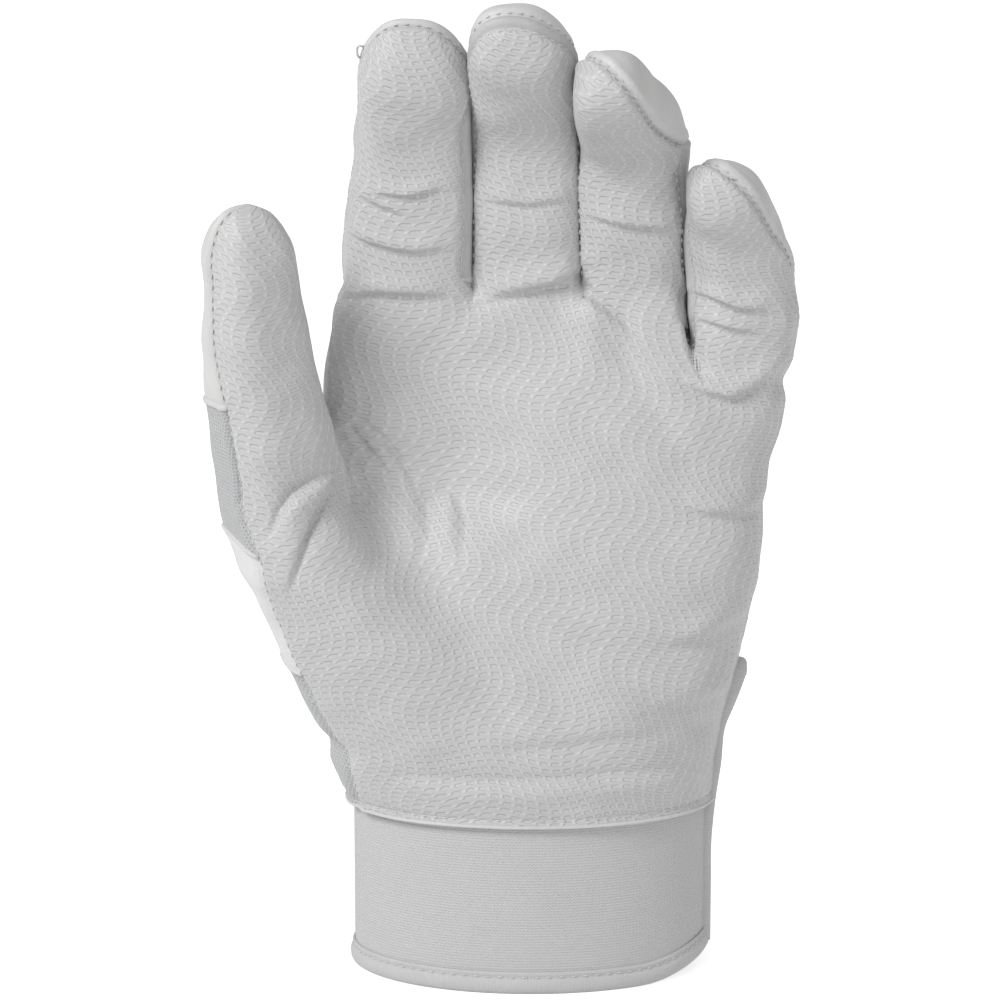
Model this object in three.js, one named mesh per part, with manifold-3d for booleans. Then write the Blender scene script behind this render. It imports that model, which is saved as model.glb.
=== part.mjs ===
// Batting glove for a left hand, standing on its cuff with the fingers up.
// Millimetres. +Z runs up the fingers, the palm faces -Y and the thumb is at -X.

import * as THREE from 'three';
import { mergeVertices } from 'three/addons/utils/BufferGeometryUtils.js';
import Module from 'manifold-3d';

const { Manifold, Mesh: SolidMesh } = await (async () => {
  const library = await Module();
  library.setup();
  return library;
})();

// Materials and fits
const leather = 1.2; // thickness of every leather and knit panel
const seamGap = 0.3; // free space between two panels that meet at a seam
const foldGap = 1.0; // free space at each side of a bend, at the height of its axis

// Cuff
const cuffCentre = 0;
const cuffHalfWidth = 41.4;
const cuffHalfDepth = 26;
const cuffThickness = 2.4;
const cuffHeight = 45;
const cuffSegments = 40;
const bindingThickness = 0.8;
const bindingHeight = 4.4;

// Slit at the little-finger side of the wrist
const slitHalfWidth = 3; // at the rim
const slitTopHalfWidth = 0.6;
const slitHeight = 72;
const slitTape = 2; // width of the folded tape along each edge
const slitTapeDepth = 3.4;
const slitSink = 2.6; // the tape reaches this far in from the surface
const slitTopX = 49; // surface at the top of the slit
const slitOvercut = 5; // the opening is cut this far past both faces of the tape

// Palm: height, thumb-side edge, little-finger edge, palm surface, back surface
const hemHeight = 41;
const hemOut = seamGap + 0.1 + leather; // hem lies outside the cuff band
const palmSections = [
  {
    z: hemHeight,
    left: cuffCentre - cuffHalfWidth - hemOut,
    right: cuffCentre + cuffHalfWidth + hemOut,
    front: cuffHalfDepth + hemOut,
    back: cuffHalfDepth + hemOut,
  },
  { z: 62, left: -44.5, right: 47.8, front: 27.2, back: 25.5 },
  { z: 86, left: -45.5, right: 52, front: 24, back: 22 },
  { z: 112, left: -43.5, right: 54.2, front: 19, back: 18.5 },
  { z: 130, left: -45, right: 57, front: 15, back: 16 },
  { z: 139, left: -45.2, right: 58.6, front: 12.6, back: 14.6 },
  { z: 146, left: -44.2, right: 58.6, front: 10, back: 12.4 },
];
const palmPower = 2.6;
const palmSegments = 36;

// Block under the index, middle and ring fingers, up to the floor of the finger gaps
const knuckleBlock = { low: 134, high: 163, left: -42.8, right: 35.2, front: 9.2, back: 12, power: 4 };

// Thumb mound, from the wrist up to the bend of the thumb: centre and half sizes
const moundSections = [
  { x: -25, y: -6, z: 52, halfWidth: 18, halfDepth: 15, side: -22 },
  { x: -36, y: -11, z: 76, halfWidth: 19, halfDepth: 16.5, side: -26 },
  { x: -46.8, y: -15, z: 98, halfWidth: 17, halfDepth: 15.5, side: -24 },
];

// Digits. Lengths run from the pivot of the base bend to the pivot of the middle bend, and from there
// to the fingertip. Half sizes are at the base bend, the middle bend and the start of the round end.
// Angles are in degrees: stub and side are sideways, lean and curl forwards. A wall is a side strip.
const digits = [
  {
    name: 'index', pivot: [-28.6, -2, 172], stub: 0, stubLean: 0, side: 3, roll: 0, lean: 8, curl: 22,
    baseLength: 23, tipLength: 34, dome: 14,
    knuckle: { halfWidth: 14.4, halfDepth: 11 },
    middle: { halfWidth: 13.2, halfDepth: 10.5 },
    end: { halfWidth: 12.2, halfDepth: 9.9 },
    baseFlex: 60, baseExtend: 18, middleFlex: 65, middleExtend: 22, walls: [1],
  },
  {
    name: 'middle', pivot: [-1, -0.5, 174], stub: 0, stubLean: 0, side: -1, roll: 0, lean: 10, curl: 32,
    baseLength: 26, tipLength: 36.3, dome: 14,
    knuckle: { halfWidth: 12.3, halfDepth: 11 },
    middle: { halfWidth: 11.9, halfDepth: 10.6 },
    end: { halfWidth: 11.4, halfDepth: 10 },
    baseFlex: 60, baseExtend: 20, middleFlex: 60, middleExtend: 32, walls: [-1, 1],
  },
  {
    name: 'ring', pivot: [23.6, -1.5, 173], stub: 0, stubLean: 0, side: -3, roll: 0, lean: 16, curl: 40,
    baseLength: 24, tipLength: 34.5, dome: 14,
    knuckle: { halfWidth: 11.7, halfDepth: 10.8 },
    middle: { halfWidth: 11.4, halfDepth: 10.4 },
    end: { halfWidth: 11, halfDepth: 9.8 },
    baseFlex: 55, baseExtend: 26, middleFlex: 52, middleExtend: 40, walls: [-1, 1],
  },
  {
    name: 'little', pivot: [48.6, -5, 153], stub: 0, stubLean: 0, side: -4.5, roll: 0, lean: 12, curl: 28,
    baseLength: 20, tipLength: 25.5, dome: 12.5,
    knuckle: { halfWidth: 11.6, halfDepth: 9.6 },
    middle: { halfWidth: 11.2, halfDepth: 9.2 },
    end: { halfWidth: 9.8, halfDepth: 8.6 },
    baseFlex: 60, baseExtend: 22, middleFlex: 60, middleExtend: 28, walls: [-1],
  },
  {
    name: 'thumb', pivot: [-55.6, -19, 115], stub: -22, stubLean: 3, side: -8, roll: 32, lean: 8, curl: 6,
    baseLength: 31, tipLength: 39.5, dome: 14,
    knuckle: { halfWidth: 14.2, halfDepth: 13.2 },
    middle: { halfWidth: 12.4, halfDepth: 11.4 },
    end: { halfWidth: 10.6, halfDepth: 10 },
    baseFlex: 15, baseExtend: 10, middleFlex: 28, middleExtend: 12, walls: [],
  },
];
const digitPower = 2.35;
const pivotOffset = 3; // the axis of a bend lies this far in front of the middle of the digit
const stubDepth = 36; // a finger root runs this far down into the palm
const stubTaper = 0.6; // and is this much smaller at its hidden end
const panelColumns = 6;
const baseStops = [0, 1 / 3, 2 / 3, 1]; // rows of a base panel, as shares of its length
const tipStops = [0, 1 / 8, 2 / 8, 3 / 8, 4 / 8, 5 / 8, 6 / 8, 7 / 8, 1];
const wallStops = [0, 1 / 8, 2 / 8, 3 / 8, 4 / 8, 0.595]; // rows of a side strip on a tip
const wallColumns = 2;
const wallHalfAngle = 30;
const wallTaperStart = 3 / 8; // a side strip narrows from here to a point
const wallTaperEnd = 5 / 8;
const flexColumns = 20;
const flexStops = [0, 1 / 2, 1];

// Seams of the hand, as lines seen from the front (x, z) and from above (x, y)
const palmSeam = [
  [-70, 140], [-66.2, 121], [-61.5, 99], [-55, 79], [-48.3, 65], [-42.6, 50], [-38.5, 30],
];
const backSeam = [[-100, -9], [-58, -9], [-38, 2], [-20, 0], [80, 0]];
const gussetTop = 71;
const reach = 120; // larger than half the glove, for cutting
const high = 250; // above the fingertips

// Closure strap, wrapped round the back of the wrist from the little-finger side
const strapLow = 7;
const strapHigh = 38;
const strapThickness = 1.6;
const patchThickness = 0.8;
const strapStart = 32; // degrees round the wrist, from the little-finger side
const strapEnd = 138;
const strapAnchorEnd = 43;
const loopStart = 64;
const hookStart = 92;
const hookMargin = 4; // the hook patch stops this far from the strap's end
const tabOverlap = 10; // the pull tab lies on this much of the strap's end
const tabReach = 6; // and stands this far past it
const patchInset = 3; // patches are this much narrower than the strap at each edge
const strapSegments = 18;
const patchSegments = 10;

const turn = THREE.MathUtils.degToRad;
const blend = THREE.MathUtils.lerp;

// A superellipse point. Angle 0 faces the palm side (-Y) and 90 degrees faces +X.
function rounded(angle, halfWidth, halfDepth, power) {
  const s = Math.sin(angle);
  const c = Math.cos(angle);
  const x = halfWidth * Math.sign(s) * Math.abs(s) ** (2 / power);
  const y = -halfDepth * Math.sign(c) * Math.abs(c) ** (2 / power);
  return new THREE.Vector2(x, y);
}

// Closed geometry from corner points, three to a face, turned so that its faces look outwards
function closedGeometry(corners) {
  const raw = new THREE.BufferGeometry();
  raw.setAttribute('position', new THREE.Float32BufferAttribute(corners.flatMap((p) => p.toArray()), 3));
  const merged = mergeVertices(raw, 1e-4);
  const at = merged.getAttribute('position');
  const source = merged.getIndex().array;
  const faces = [];
  let volume = 0;
  for (let i = 0; i < source.length; i += 3) {
    const [a, b, c] = [source[i], source[i + 1], source[i + 2]];
    if (a === b || b === c || c === a) continue;
    faces.push([a, b, c]);
    const [p, q, r] = [a, b, c].map((k) => new THREE.Vector3().fromBufferAttribute(at, k));
    volume += p.dot(q.cross(r));
  }
  merged.setIndex(faces.flatMap(([a, b, c]) => (volume < 0 ? [a, c, b] : [a, b, c])));
  merged.computeVertexNormals();
  return merged;
}

function quad(corners, a, b, c, d) {
  corners.push(a, b, c, a, c, d);
}

// A sheet with thickness. point(u, v, inset) gives a place on the sheet, inset from its outer face.
function shell(point, columns, stops, thickness, closed = false) {
  const rows = stops.length - 1;
  const wideRow = (v, inset) =>
    Array.from({ length: columns + (closed ? 0 : 1) }, (_, i) => point(i / columns, v, inset));
  const grid = (inset) => stops.map((v) => wideRow(v, inset));
  const outer = grid(0);
  const inner = grid(thickness);
  const corners = [];
  const wide = outer[0].length;
  for (let i = 0; i < columns; i += 1) {
    const k = (i + 1) % wide;
    for (let j = 0; j < rows; j += 1) {
      quad(corners, outer[j][i], outer[j][k], outer[j + 1][k], outer[j + 1][i]);
      quad(corners, inner[j][k], inner[j][i], inner[j + 1][i], inner[j + 1][k]);
    }
    quad(corners, inner[0][i], inner[0][k], outer[0][k], outer[0][i]);
    quad(corners, outer[rows][i], outer[rows][k], inner[rows][k], inner[rows][i]);
  }
  if (!closed) {
    for (let j = 0; j < rows; j += 1) {
      quad(corners, inner[j][0], outer[j][0], outer[j + 1][0], inner[j + 1][0]);
      quad(corners, outer[j][columns], inner[j][columns], inner[j + 1][columns], outer[j + 1][columns]);
    }
  }
  return closedGeometry(corners);
}

// A solid through closed rows of points, with a fan over each end
function loft(rows) {
  const corners = [];
  const wide = rows[0].length;
  const middleOf = (row) =>
    row.reduce((sum, p) => sum.add(p), new THREE.Vector3()).divideScalar(row.length);
  const first = middleOf(rows[0]);
  const last = middleOf(rows[rows.length - 1]);
  for (let i = 0; i < wide; i += 1) {
    const k = (i + 1) % wide;
    for (let j = 0; j + 1 < rows.length; j += 1) {
      quad(corners, rows[j][i], rows[j][k], rows[j + 1][k], rows[j + 1][i]);
    }
    corners.push(first, rows[0][k], rows[0][i]);
    corners.push(last, rows[rows.length - 1][i], rows[rows.length - 1][k]);
  }
  return closedGeometry(corners);
}

function toSolid(geometry) {
  const bare = mergeVertices(geometry.clone().deleteAttribute('normal').deleteAttribute('uv'), 1e-4);
  return new Manifold(
    new SolidMesh({
      numProp: 3,
      vertProperties: new Float32Array(bare.getAttribute('position').array),
      triVerts: new Uint32Array(bare.getIndex().array),
    }),
  );
}

function fromSolid(solid) {
  const mesh = solid.getMesh();
  const places = new Float32Array((mesh.vertProperties.length / mesh.numProp) * 3);
  for (let i = 0; i < places.length / 3; i += 1) {
    for (let k = 0; k < 3; k += 1) places[i * 3 + k] = mesh.vertProperties[i * mesh.numProp + k];
  }
  const geometry = new THREE.BufferGeometry();
  geometry.setAttribute('position', new THREE.BufferAttribute(places, 3));
  geometry.setIndex(Array.from(mesh.triVerts));
  geometry.computeVertexNormals();
  return geometry;
}

// The largest separate body of a cut, so that no loose crumb stays
function mainBody(solid) {
  return solid.decompose().reduce((a, b) => (a.volume() > b.volume() ? a : b));
}

function node(name, geometry) {
  const mesh = new THREE.Mesh(geometry, new THREE.MeshStandardMaterial());
  mesh.name = name;
  return mesh;
}

// Half of the free wedge at a bend, along the digit, at depth y from the axis
function wedge(y, forwards, backwards) {
  const angle = y < 0 ? forwards : backwards;
  return foldGap + Math.abs(y) * Math.tan(turn(Math.max(angle, 0) / 2));
}

const baseWedge = (digit, y) =>
  wedge(y, digit.baseFlex + digit.lean - digit.stubLean, digit.baseExtend - digit.lean + digit.stubLean);
const middleWedge = (digit, y) =>
  wedge(y, digit.middleFlex + digit.curl, digit.middleExtend - digit.curl);

// Outline of a digit at one of its stated sizes
function outline(size, angle, inset) {
  const p = rounded(angle, size.halfWidth - inset, size.halfDepth - inset, digitPower);
  return new THREE.Vector3(p.x, p.y + pivotOffset, 0);
}

function between(a, b, t) {
  return {
    halfWidth: blend(a.halfWidth, b.halfWidth, t),
    halfDepth: blend(a.halfDepth, b.halfDepth, t),
  };
}

// Half of the free wedge at the base bend. It is wider where the digit leans sideways over its root.
function baseGap(digit, p) {
  const sideways = p.x * Math.cos(turn(digit.roll)) - p.y * Math.sin(turn(digit.roll));
  const closing = Math.max(0, sideways * Math.tan(turn((digit.side - digit.stub) / 2)));
  return baseWedge(digit, p.y) + closing;
}

// The root of a digit, ending below the base bend, in the frame of its root
function rootEdge(digit, angle, inset) {
  const p = outline(digit.knuckle, angle, inset);
  p.z = -baseGap(digit, p);
  return p;
}

function rootFrame(digit) {
  const tilt = new THREE.Euler(turn(digit.stubLean), turn(digit.stub), turn(digit.roll), 'YXZ');
  return new THREE.Matrix4().makeRotationFromEuler(tilt).setPosition(...digit.pivot);
}

// Base part of a digit, in the frame of its base bend
function basePoint(digit, angle, along, inset) {
  const low = baseGap(digit, outline(digit.knuckle, angle, inset));
  const high = digit.baseLength - middleWedge(digit, outline(digit.middle, angle, inset).y);
  const z = blend(low, high, along);
  const p = outline(between(digit.knuckle, digit.middle, z / digit.baseLength), angle, inset);
  p.z = z;
  return p;
}

// Tip part of a digit, in the frame of its middle bend: straight for the first half, then round
function tipPoint(digit, angle, along, inset) {
  const domeStart = digit.tipLength - digit.dome;
  const low = middleWedge(digit, outline(digit.middle, angle, inset).y);
  if (along <= 0.5) {
    const z = blend(low, domeStart, along * 2);
    const p = outline(between(digit.middle, digit.end, z / domeStart), angle, inset);
    p.z = z;
    return p;
  }
  const rise = (along - 0.5) * Math.PI;
  const p = outline(digit.end, angle, inset);
  p.x *= Math.cos(rise);
  p.y = pivotOffset + (p.y - pivotOffset) * Math.cos(rise);
  p.z = domeStart + (digit.dome - inset) * Math.sin(rise);
  return p;
}

// Half angle of a side strip: constant, then narrowing to nothing on the round end
function wallHalf(digit, side, part, along) {
  if (!digit.walls.includes(side)) return 0;
  if (part === 'base') return wallHalfAngle;
  const share = (wallTaperEnd - along) / (wallTaperEnd - wallTaperStart);
  return wallHalfAngle * THREE.MathUtils.clamp(share, 0, 1);
}

const partPoint = { base: basePoint, tip: tipPoint };

function frontPanel(digit, part, stops) {
  const place = (u, v, inset) => {
    const from = -90 + wallHalf(digit, -1, part, v);
    const to = 90 - wallHalf(digit, 1, part, v);
    const p = partPoint[part](digit, turn(blend(from, to, u)), v, inset);
    p.y -= seamGap / 2;
    return p;
  };
  return shell(place, panelColumns, stops, leather);
}

function backPanel(digit, part, stops) {
  const place = (u, v, inset) => {
    const from = 90 + wallHalf(digit, 1, part, v);
    const to = 270 - wallHalf(digit, -1, part, v);
    const p = partPoint[part](digit, turn(blend(from, to, u)), v, inset);
    p.y += seamGap / 2;
    return p;
  };
  return shell(place, panelColumns, stops, leather);
}

function sidePanel(digit, part, stops, side) {
  const trim = THREE.MathUtils.radToDeg(seamGap / digit.end.halfDepth);
  const place = (u, v, inset) => {
    const half = wallHalf(digit, side, part, v) - trim;
    return partPoint[part](digit, turn(side * blend(90 - half, 90 + half, u)), v, inset);
  };
  return shell(place, wallColumns, stops, leather);
}

// Skin that folds at a bend: a band between the edges of the two parts that it joins
function flexBand(lowEdge, highEdge) {
  const place = (u, v, inset) => {
    const angle = u * 2 * Math.PI;
    const low = lowEdge(angle, inset);
    const high = highEdge(angle, inset);
    const trim = Math.min(seamGap / low.distanceTo(high), 0.4);
    return low.lerp(high, blend(trim, 1 - trim, v));
  };
  return shell(place, flexColumns, flexStops, leather, true);
}

// A digit as two nested groups, each with its origin on the axis of its bend
function makeDigit(digit, hand) {
  const base = new THREE.Group();
  base.name = `${digit.name}_base`;
  base.position.set(...digit.pivot);
  base.rotation.set(turn(digit.lean), turn(digit.side), turn(digit.roll), 'YXZ');
  base.updateMatrix();
  const tip = new THREE.Group();
  tip.name = `${digit.name}_tip`;
  tip.position.set(0, 0, digit.baseLength);
  tip.rotation.x = turn(digit.curl);
  tip.updateMatrix();
  base.add(tip);

  const root = rootFrame(digit);
  const knuckleFlex = flexBand(
    (angle, inset) => rootEdge(digit, angle, inset).applyMatrix4(root),
    (angle, inset) => basePoint(digit, angle, 0, inset).applyMatrix4(base.matrix),
  );
  hand.add(node(`${digit.name}_knuckle_flex`, knuckleFlex));
  const middleFlex = flexBand(
    (angle, inset) => basePoint(digit, angle, 1, inset),
    (angle, inset) => tipPoint(digit, angle, 0, inset).applyMatrix4(tip.matrix),
  );
  base.add(node(`${digit.name}_middle_flex`, middleFlex));

  const parts = [['base', base, baseStops, baseStops], ['tip', tip, tipStops, wallStops]];
  for (const [part, group, stops, sideStops] of parts) {
    group.add(node(`${digit.name}_${part}_front`, frontPanel(digit, part, stops)));
    group.add(node(`${digit.name}_${part}_back`, backPanel(digit, part, stops)));
    for (const side of digit.walls) {
      const word = side < 0 ? 'thumbward' : 'outward';
      group.add(node(`${digit.name}_${part}_side_${word}`, sidePanel(digit, part, sideStops, side)));
    }
  }
  return base;
}

const angles = (count) => Array.from({ length: count }, (_, i) => (i * 2 * Math.PI) / count);

// Palm tube, inset from the outer face by the given amount, open below when hollow
function palmSolid(inset) {
  const rows = palmSections.map((s) =>
    angles(palmSegments).map((angle) => {
      const depth = Math.cos(angle) > 0 ? s.front : s.back;
      const p = rounded(angle, (s.right - s.left) / 2 - inset, depth - inset, palmPower);
      return new THREE.Vector3((s.left + s.right) / 2 + p.x, p.y, s.z);
    }),
  );
  if (inset > 0) {
    rows.unshift(rows[0].map((p) => p.clone().setZ(hemHeight - leather)));
    for (const p of rows[rows.length - 1]) p.z -= inset;
  }
  return toSolid(loft(rows));
}

function knuckleSolid(inset) {
  const { low, high, left, right, front, back, power } = knuckleBlock;
  const row = (z) =>
    angles(palmSegments).map((angle) => {
      const depth = Math.cos(angle) > 0 ? front : back;
      const p = rounded(angle, (right - left) / 2 - inset, depth - inset, power);
      return new THREE.Vector3((left + right) / 2 + p.x, p.y, z);
    });
  return toSolid(loft([row(low), row(high - inset)]));
}

// Root of a finger, or the whole mound of the thumb
function rootSolid(digit, inset) {
  const frame = rootFrame(digit);
  const end = angles(flexColumns).map((angle) => rootEdge(digit, angle, inset).applyMatrix4(frame));
  const rows = [];
  if (digit.name === 'thumb') {
    for (const s of moundSections) {
      const tilt = new THREE.Euler(0, turn(s.side), turn(digit.roll), 'YXZ');
      const place = new THREE.Matrix4().makeRotationFromEuler(tilt).setPosition(s.x, s.y, s.z);
      const size = { halfWidth: s.halfWidth, halfDepth: s.halfDepth };
      rows.push(angles(flexColumns).map((angle) => {
        const p = outline(size, angle, inset);
        p.y -= pivotOffset;
        return p.applyMatrix4(place);
      }));
    }
  } else {
    const [x, y, z] = digit.pivot;
    const centre = new THREE.Vector3(x, y + pivotOffset, z - stubDepth);
    rows.push(end.map((p) => p.clone().setZ(centre.z).lerp(centre, 1 - stubTaper)));
  }
  rows.push(end);
  if (inset > 0) {
    const up = new THREE.Vector3().setFromMatrixColumn(frame, 2).multiplyScalar(leather);
    rows.push(end.map((p) => p.clone().add(up)));
  }
  return toSolid(loft(rows));
}

// A flat shape pushed through the glove. Points are (x, y) for 'up' and (x, z) for 'through'.
function cutter(points, way) {
  const shape = new THREE.Shape(points.map(([a, b]) => new THREE.Vector2(a, b)));
  const geometry = new THREE.ExtrudeGeometry(shape, { depth: 4 * reach, bevelEnabled: false });
  geometry.translate(0, 0, -2 * reach);
  if (way === 'through') geometry.rotateX(Math.PI / 2);
  return toSolid(geometry);
}

const shifted = (line, dx, dy) => line.map(([a, b]) => [a + dx, b + dy]);

// Outline of the slit, as (y, z), wider by the given amount
function slitOutline(extra) {
  const rim = slitHalfWidth + extra;
  const top = slitTopHalfWidth + extra;
  const hem = blend(rim, top, hemHeight / slitHeight);
  return [
    [-rim, -1], [rim, -1], [hem, hemHeight], [top, slitHeight + extra * 0.6],
    [top / 2, slitHeight + extra], [-top / 2, slitHeight + extra],
    [-top, slitHeight + extra * 0.6], [-hem, hemHeight],
  ];
}

// Surface of the little-finger side at a height: upright on the cuff, then leaning out to the palm
function slitSurface(z) {
  const rise = Math.max(0, (z - hemHeight) / (slitHeight - hemHeight));
  return blend(cuffCentre + cuffHalfWidth, slitTopX, rise);
}

// A slit shape pushed along +X from the surface of the little-finger side, leaning with that surface
function slitGeometry(points, hole, from, depth) {
  const shape = new THREE.Shape(points.map(([y, z]) => new THREE.Vector2(y, z)));
  if (hole) shape.holes.push(new THREE.Path(hole.map(([y, z]) => new THREE.Vector2(y, z))));
  const geometry = new THREE.ExtrudeGeometry(shape, { depth, bevelEnabled: false });
  const at = geometry.getAttribute('position');
  for (let i = 0; i < at.count; i += 1) {
    const [y, z, x] = [at.getX(i), at.getY(i), at.getZ(i)];
    at.setXYZ(i, slitSurface(z) - slitSink + from + x, y, z);
  }
  return geometry;
}

// A point on the cuff, a distance out from its outer face. Angle 0 faces +X and 90 degrees +Y.
function cuffPoint(angle, out, z) {
  const x = cuffCentre + (cuffHalfWidth + out) * Math.cos(angle);
  return new THREE.Vector3(x, (cuffHalfDepth + out) * Math.sin(angle), z);
}

function cuffStrip(start, end, low, high, out, thickness, segments) {
  const place = (u, v, inset) =>
    cuffPoint(turn(blend(start, end, u)), out + thickness - inset, blend(low, high, v));
  return shell(place, segments, [0, 1], thickness);
}

function makeHand() {
  const hand = new THREE.Group();
  hand.name = 'hand';

  const skin = (inset) =>
    [palmSolid(inset), knuckleSolid(inset), ...digits.map((digit) => rootSolid(digit, inset))]
      .reduce((all, next) => all.add(next));
  const slitCut = toSolid(slitGeometry(slitOutline(slitTape + seamGap), null, -reach / 4, reach));
  const shellSolid = skin(0).subtract(skin(leather)).subtract(slitCut);

  const half = seamGap / 2;
  const frontSide = cutter([...shifted(backSeam, 0, -half), [80, -reach], [-100, -reach]], 'up');
  const backSide = cutter([...shifted(backSeam, 0, half), [80, reach], [-100, reach]], 'up');
  const seamTop = palmSeam[0];
  const seamLow = palmSeam[palmSeam.length - 1];
  const besideSeam = (gap, edge) => {
    const rest = [[edge, seamLow[1]], [edge, high], [seamTop[0] + gap, high]];
    return cutter([...shifted(palmSeam, gap, 0), ...rest], 'through');
  };
  const palmSide = besideSeam(half, reach);
  const thumbSide = besideSeam(-half, -reach);
  const layer = (from, to) => cutter([[-reach, from], [reach, from], [reach, to], [-reach, to]], 'through');
  const above = layer(gussetTop + half, high);
  const below = layer(-reach, gussetTop - half);

  const front = shellSolid.intersect(frontSide);
  const side = front.intersect(thumbSide);
  const panels = {
    palm_leather: front.intersect(palmSide),
    back_panel: shellSolid.intersect(backSide),
    thumb_side_panel: side.intersect(above),
    wrist_gusset: side.intersect(below),
  };
  for (const [name, solid] of Object.entries(panels)) hand.add(node(name, fromSolid(mainBody(solid))));

  const bandLow = bindingThickness + seamGap;
  const band = shell(
    (u, v, inset) => cuffPoint(u * 2 * Math.PI, -inset, blend(bandLow, cuffHeight, v)),
    cuffSegments, [0, 1], cuffThickness, true,
  );
  hand.add(node('cuff_band', fromSolid(mainBody(toSolid(band).subtract(slitCut)))));

  // The binding is a channel round the rim: out from the cuff face, and height
  const outside = seamGap + bindingThickness;
  const inside = -cuffThickness - outside;
  const channel = [
    [outside, 0], [outside, bindingHeight], [seamGap, bindingHeight], [seamGap, bindingThickness],
    [inside + bindingThickness, bindingThickness], [inside + bindingThickness, bindingHeight],
    [inside, bindingHeight], [inside, 0],
  ];
  const corners = [];
  for (let i = 0; i < cuffSegments; i += 1) {
    const a = (i * 2 * Math.PI) / cuffSegments;
    const b = ((i + 1) * 2 * Math.PI) / cuffSegments;
    channel.forEach(([out, z], k) => {
      const [nextOut, nextZ] = channel[(k + 1) % channel.length];
      const near = [cuffPoint(a, out, z), cuffPoint(b, out, z)];
      quad(corners, ...near, cuffPoint(b, nextOut, nextZ), cuffPoint(a, nextOut, nextZ));
    });
  }
  hand.add(node('cuff_binding', fromSolid(mainBody(toSolid(closedGeometry(corners)).subtract(slitCut)))));

  const tape = toSolid(slitGeometry(slitOutline(slitTape), null, 0, slitTapeDepth));
  const opening = toSolid(slitGeometry(slitOutline(0), null, -slitOvercut, slitTapeDepth + 2 * slitOvercut));
  hand.add(node('slit_binding', fromSolid(mainBody(tape.subtract(opening).intersect(layer(0, high))))));

  const patchLow = strapLow + patchInset;
  const patchHigh = strapHigh - patchInset;
  hand.add(node('loop_patch', cuffStrip(
    loopStart, strapEnd, patchLow, patchHigh, seamGap, patchThickness, patchSegments,
  )));
  hand.add(node('strap_anchor', cuffStrip(
    strapStart, strapAnchorEnd, strapLow, strapHigh, seamGap, 2 * patchThickness + seamGap, 3,
  )));
  return hand;
}

// The strap turns about an upright line at the little-finger side of the cuff
function makeStrap() {
  const strap = new THREE.Group();
  strap.name = 'strap_body';
  const hookOut = 2 * seamGap + patchThickness;
  const strapOut = hookOut + patchThickness + seamGap;
  const axis = cuffPoint(turn(strapStart), strapOut, 0);
  strap.position.copy(axis);
  const pieces = {
    strap: cuffStrip(strapStart, strapEnd, strapLow, strapHigh, strapOut, strapThickness, strapSegments),
    hook_patch: cuffStrip(
      hookStart, strapEnd - hookMargin, strapLow + patchInset, strapHigh - patchInset,
      hookOut, patchThickness, patchSegments,
    ),
    pull_tab: cuffStrip(
      strapEnd - tabOverlap, strapEnd + tabReach, strapLow + patchInset, strapHigh - patchInset,
      strapOut + strapThickness + seamGap, strapThickness, 4,
    ),
  };
  for (const [name, geometry] of Object.entries(pieces)) {
    strap.add(node(name, geometry.translate(-axis.x, -axis.y, 0)));
  }
  return strap;
}

const glove = new THREE.Group();
glove.name = 'batting_glove';
const hand = makeHand();
glove.add(hand);
for (const digit of digits) {
  glove.add(makeDigit(digit, hand));
}
glove.add(makeStrap());

// The origin is under the middle of the glove, on the plane that it stands on
glove.updateMatrixWorld(true);
const box = new THREE.Box3().setFromObject(glove, true);
const middle = box.getCenter(new THREE.Vector3());
glove.position.set(-middle.x, -middle.y, -box.min.z);
glove.updateMatrixWorld(true);

export default glove;
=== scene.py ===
"""Looks of a white batting glove for a left hand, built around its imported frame.

Shapes are worked out in millimetres in the glove's own frame: the cuff stands round x = 0, y = 0, the palm
faces -Y, the thumb is at -X and the fingers point up. Pieces are placed in the frame's metres at the end.
"""

import math

import bpy
import numpy as np
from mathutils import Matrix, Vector


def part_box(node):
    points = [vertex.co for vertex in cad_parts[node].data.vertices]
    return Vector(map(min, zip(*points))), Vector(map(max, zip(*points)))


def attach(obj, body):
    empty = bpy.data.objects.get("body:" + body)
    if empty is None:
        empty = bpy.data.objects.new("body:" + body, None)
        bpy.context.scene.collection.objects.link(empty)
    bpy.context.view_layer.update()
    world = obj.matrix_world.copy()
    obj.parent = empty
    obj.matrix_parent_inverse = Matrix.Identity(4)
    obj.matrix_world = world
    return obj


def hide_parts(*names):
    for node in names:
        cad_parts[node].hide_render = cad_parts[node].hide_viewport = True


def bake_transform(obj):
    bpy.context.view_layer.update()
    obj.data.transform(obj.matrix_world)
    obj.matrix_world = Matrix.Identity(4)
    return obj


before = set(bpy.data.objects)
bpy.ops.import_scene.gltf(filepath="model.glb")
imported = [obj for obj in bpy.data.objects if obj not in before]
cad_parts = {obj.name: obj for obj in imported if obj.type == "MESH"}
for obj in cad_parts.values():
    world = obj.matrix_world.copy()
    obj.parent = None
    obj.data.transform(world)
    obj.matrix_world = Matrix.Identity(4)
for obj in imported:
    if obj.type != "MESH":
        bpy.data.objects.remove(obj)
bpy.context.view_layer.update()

# Sizes of the glove, in millimetres
LEATHER = 1.0
CUFF_HALF_WIDTH = 41.4
CUFF_HALF_DEPTH = 26.0
CUFF_THICKNESS = 2.4
CUFF_TOP = 45.0
RIM_OUT = 1.1
HEM_HEIGHT = 41.0

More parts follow.
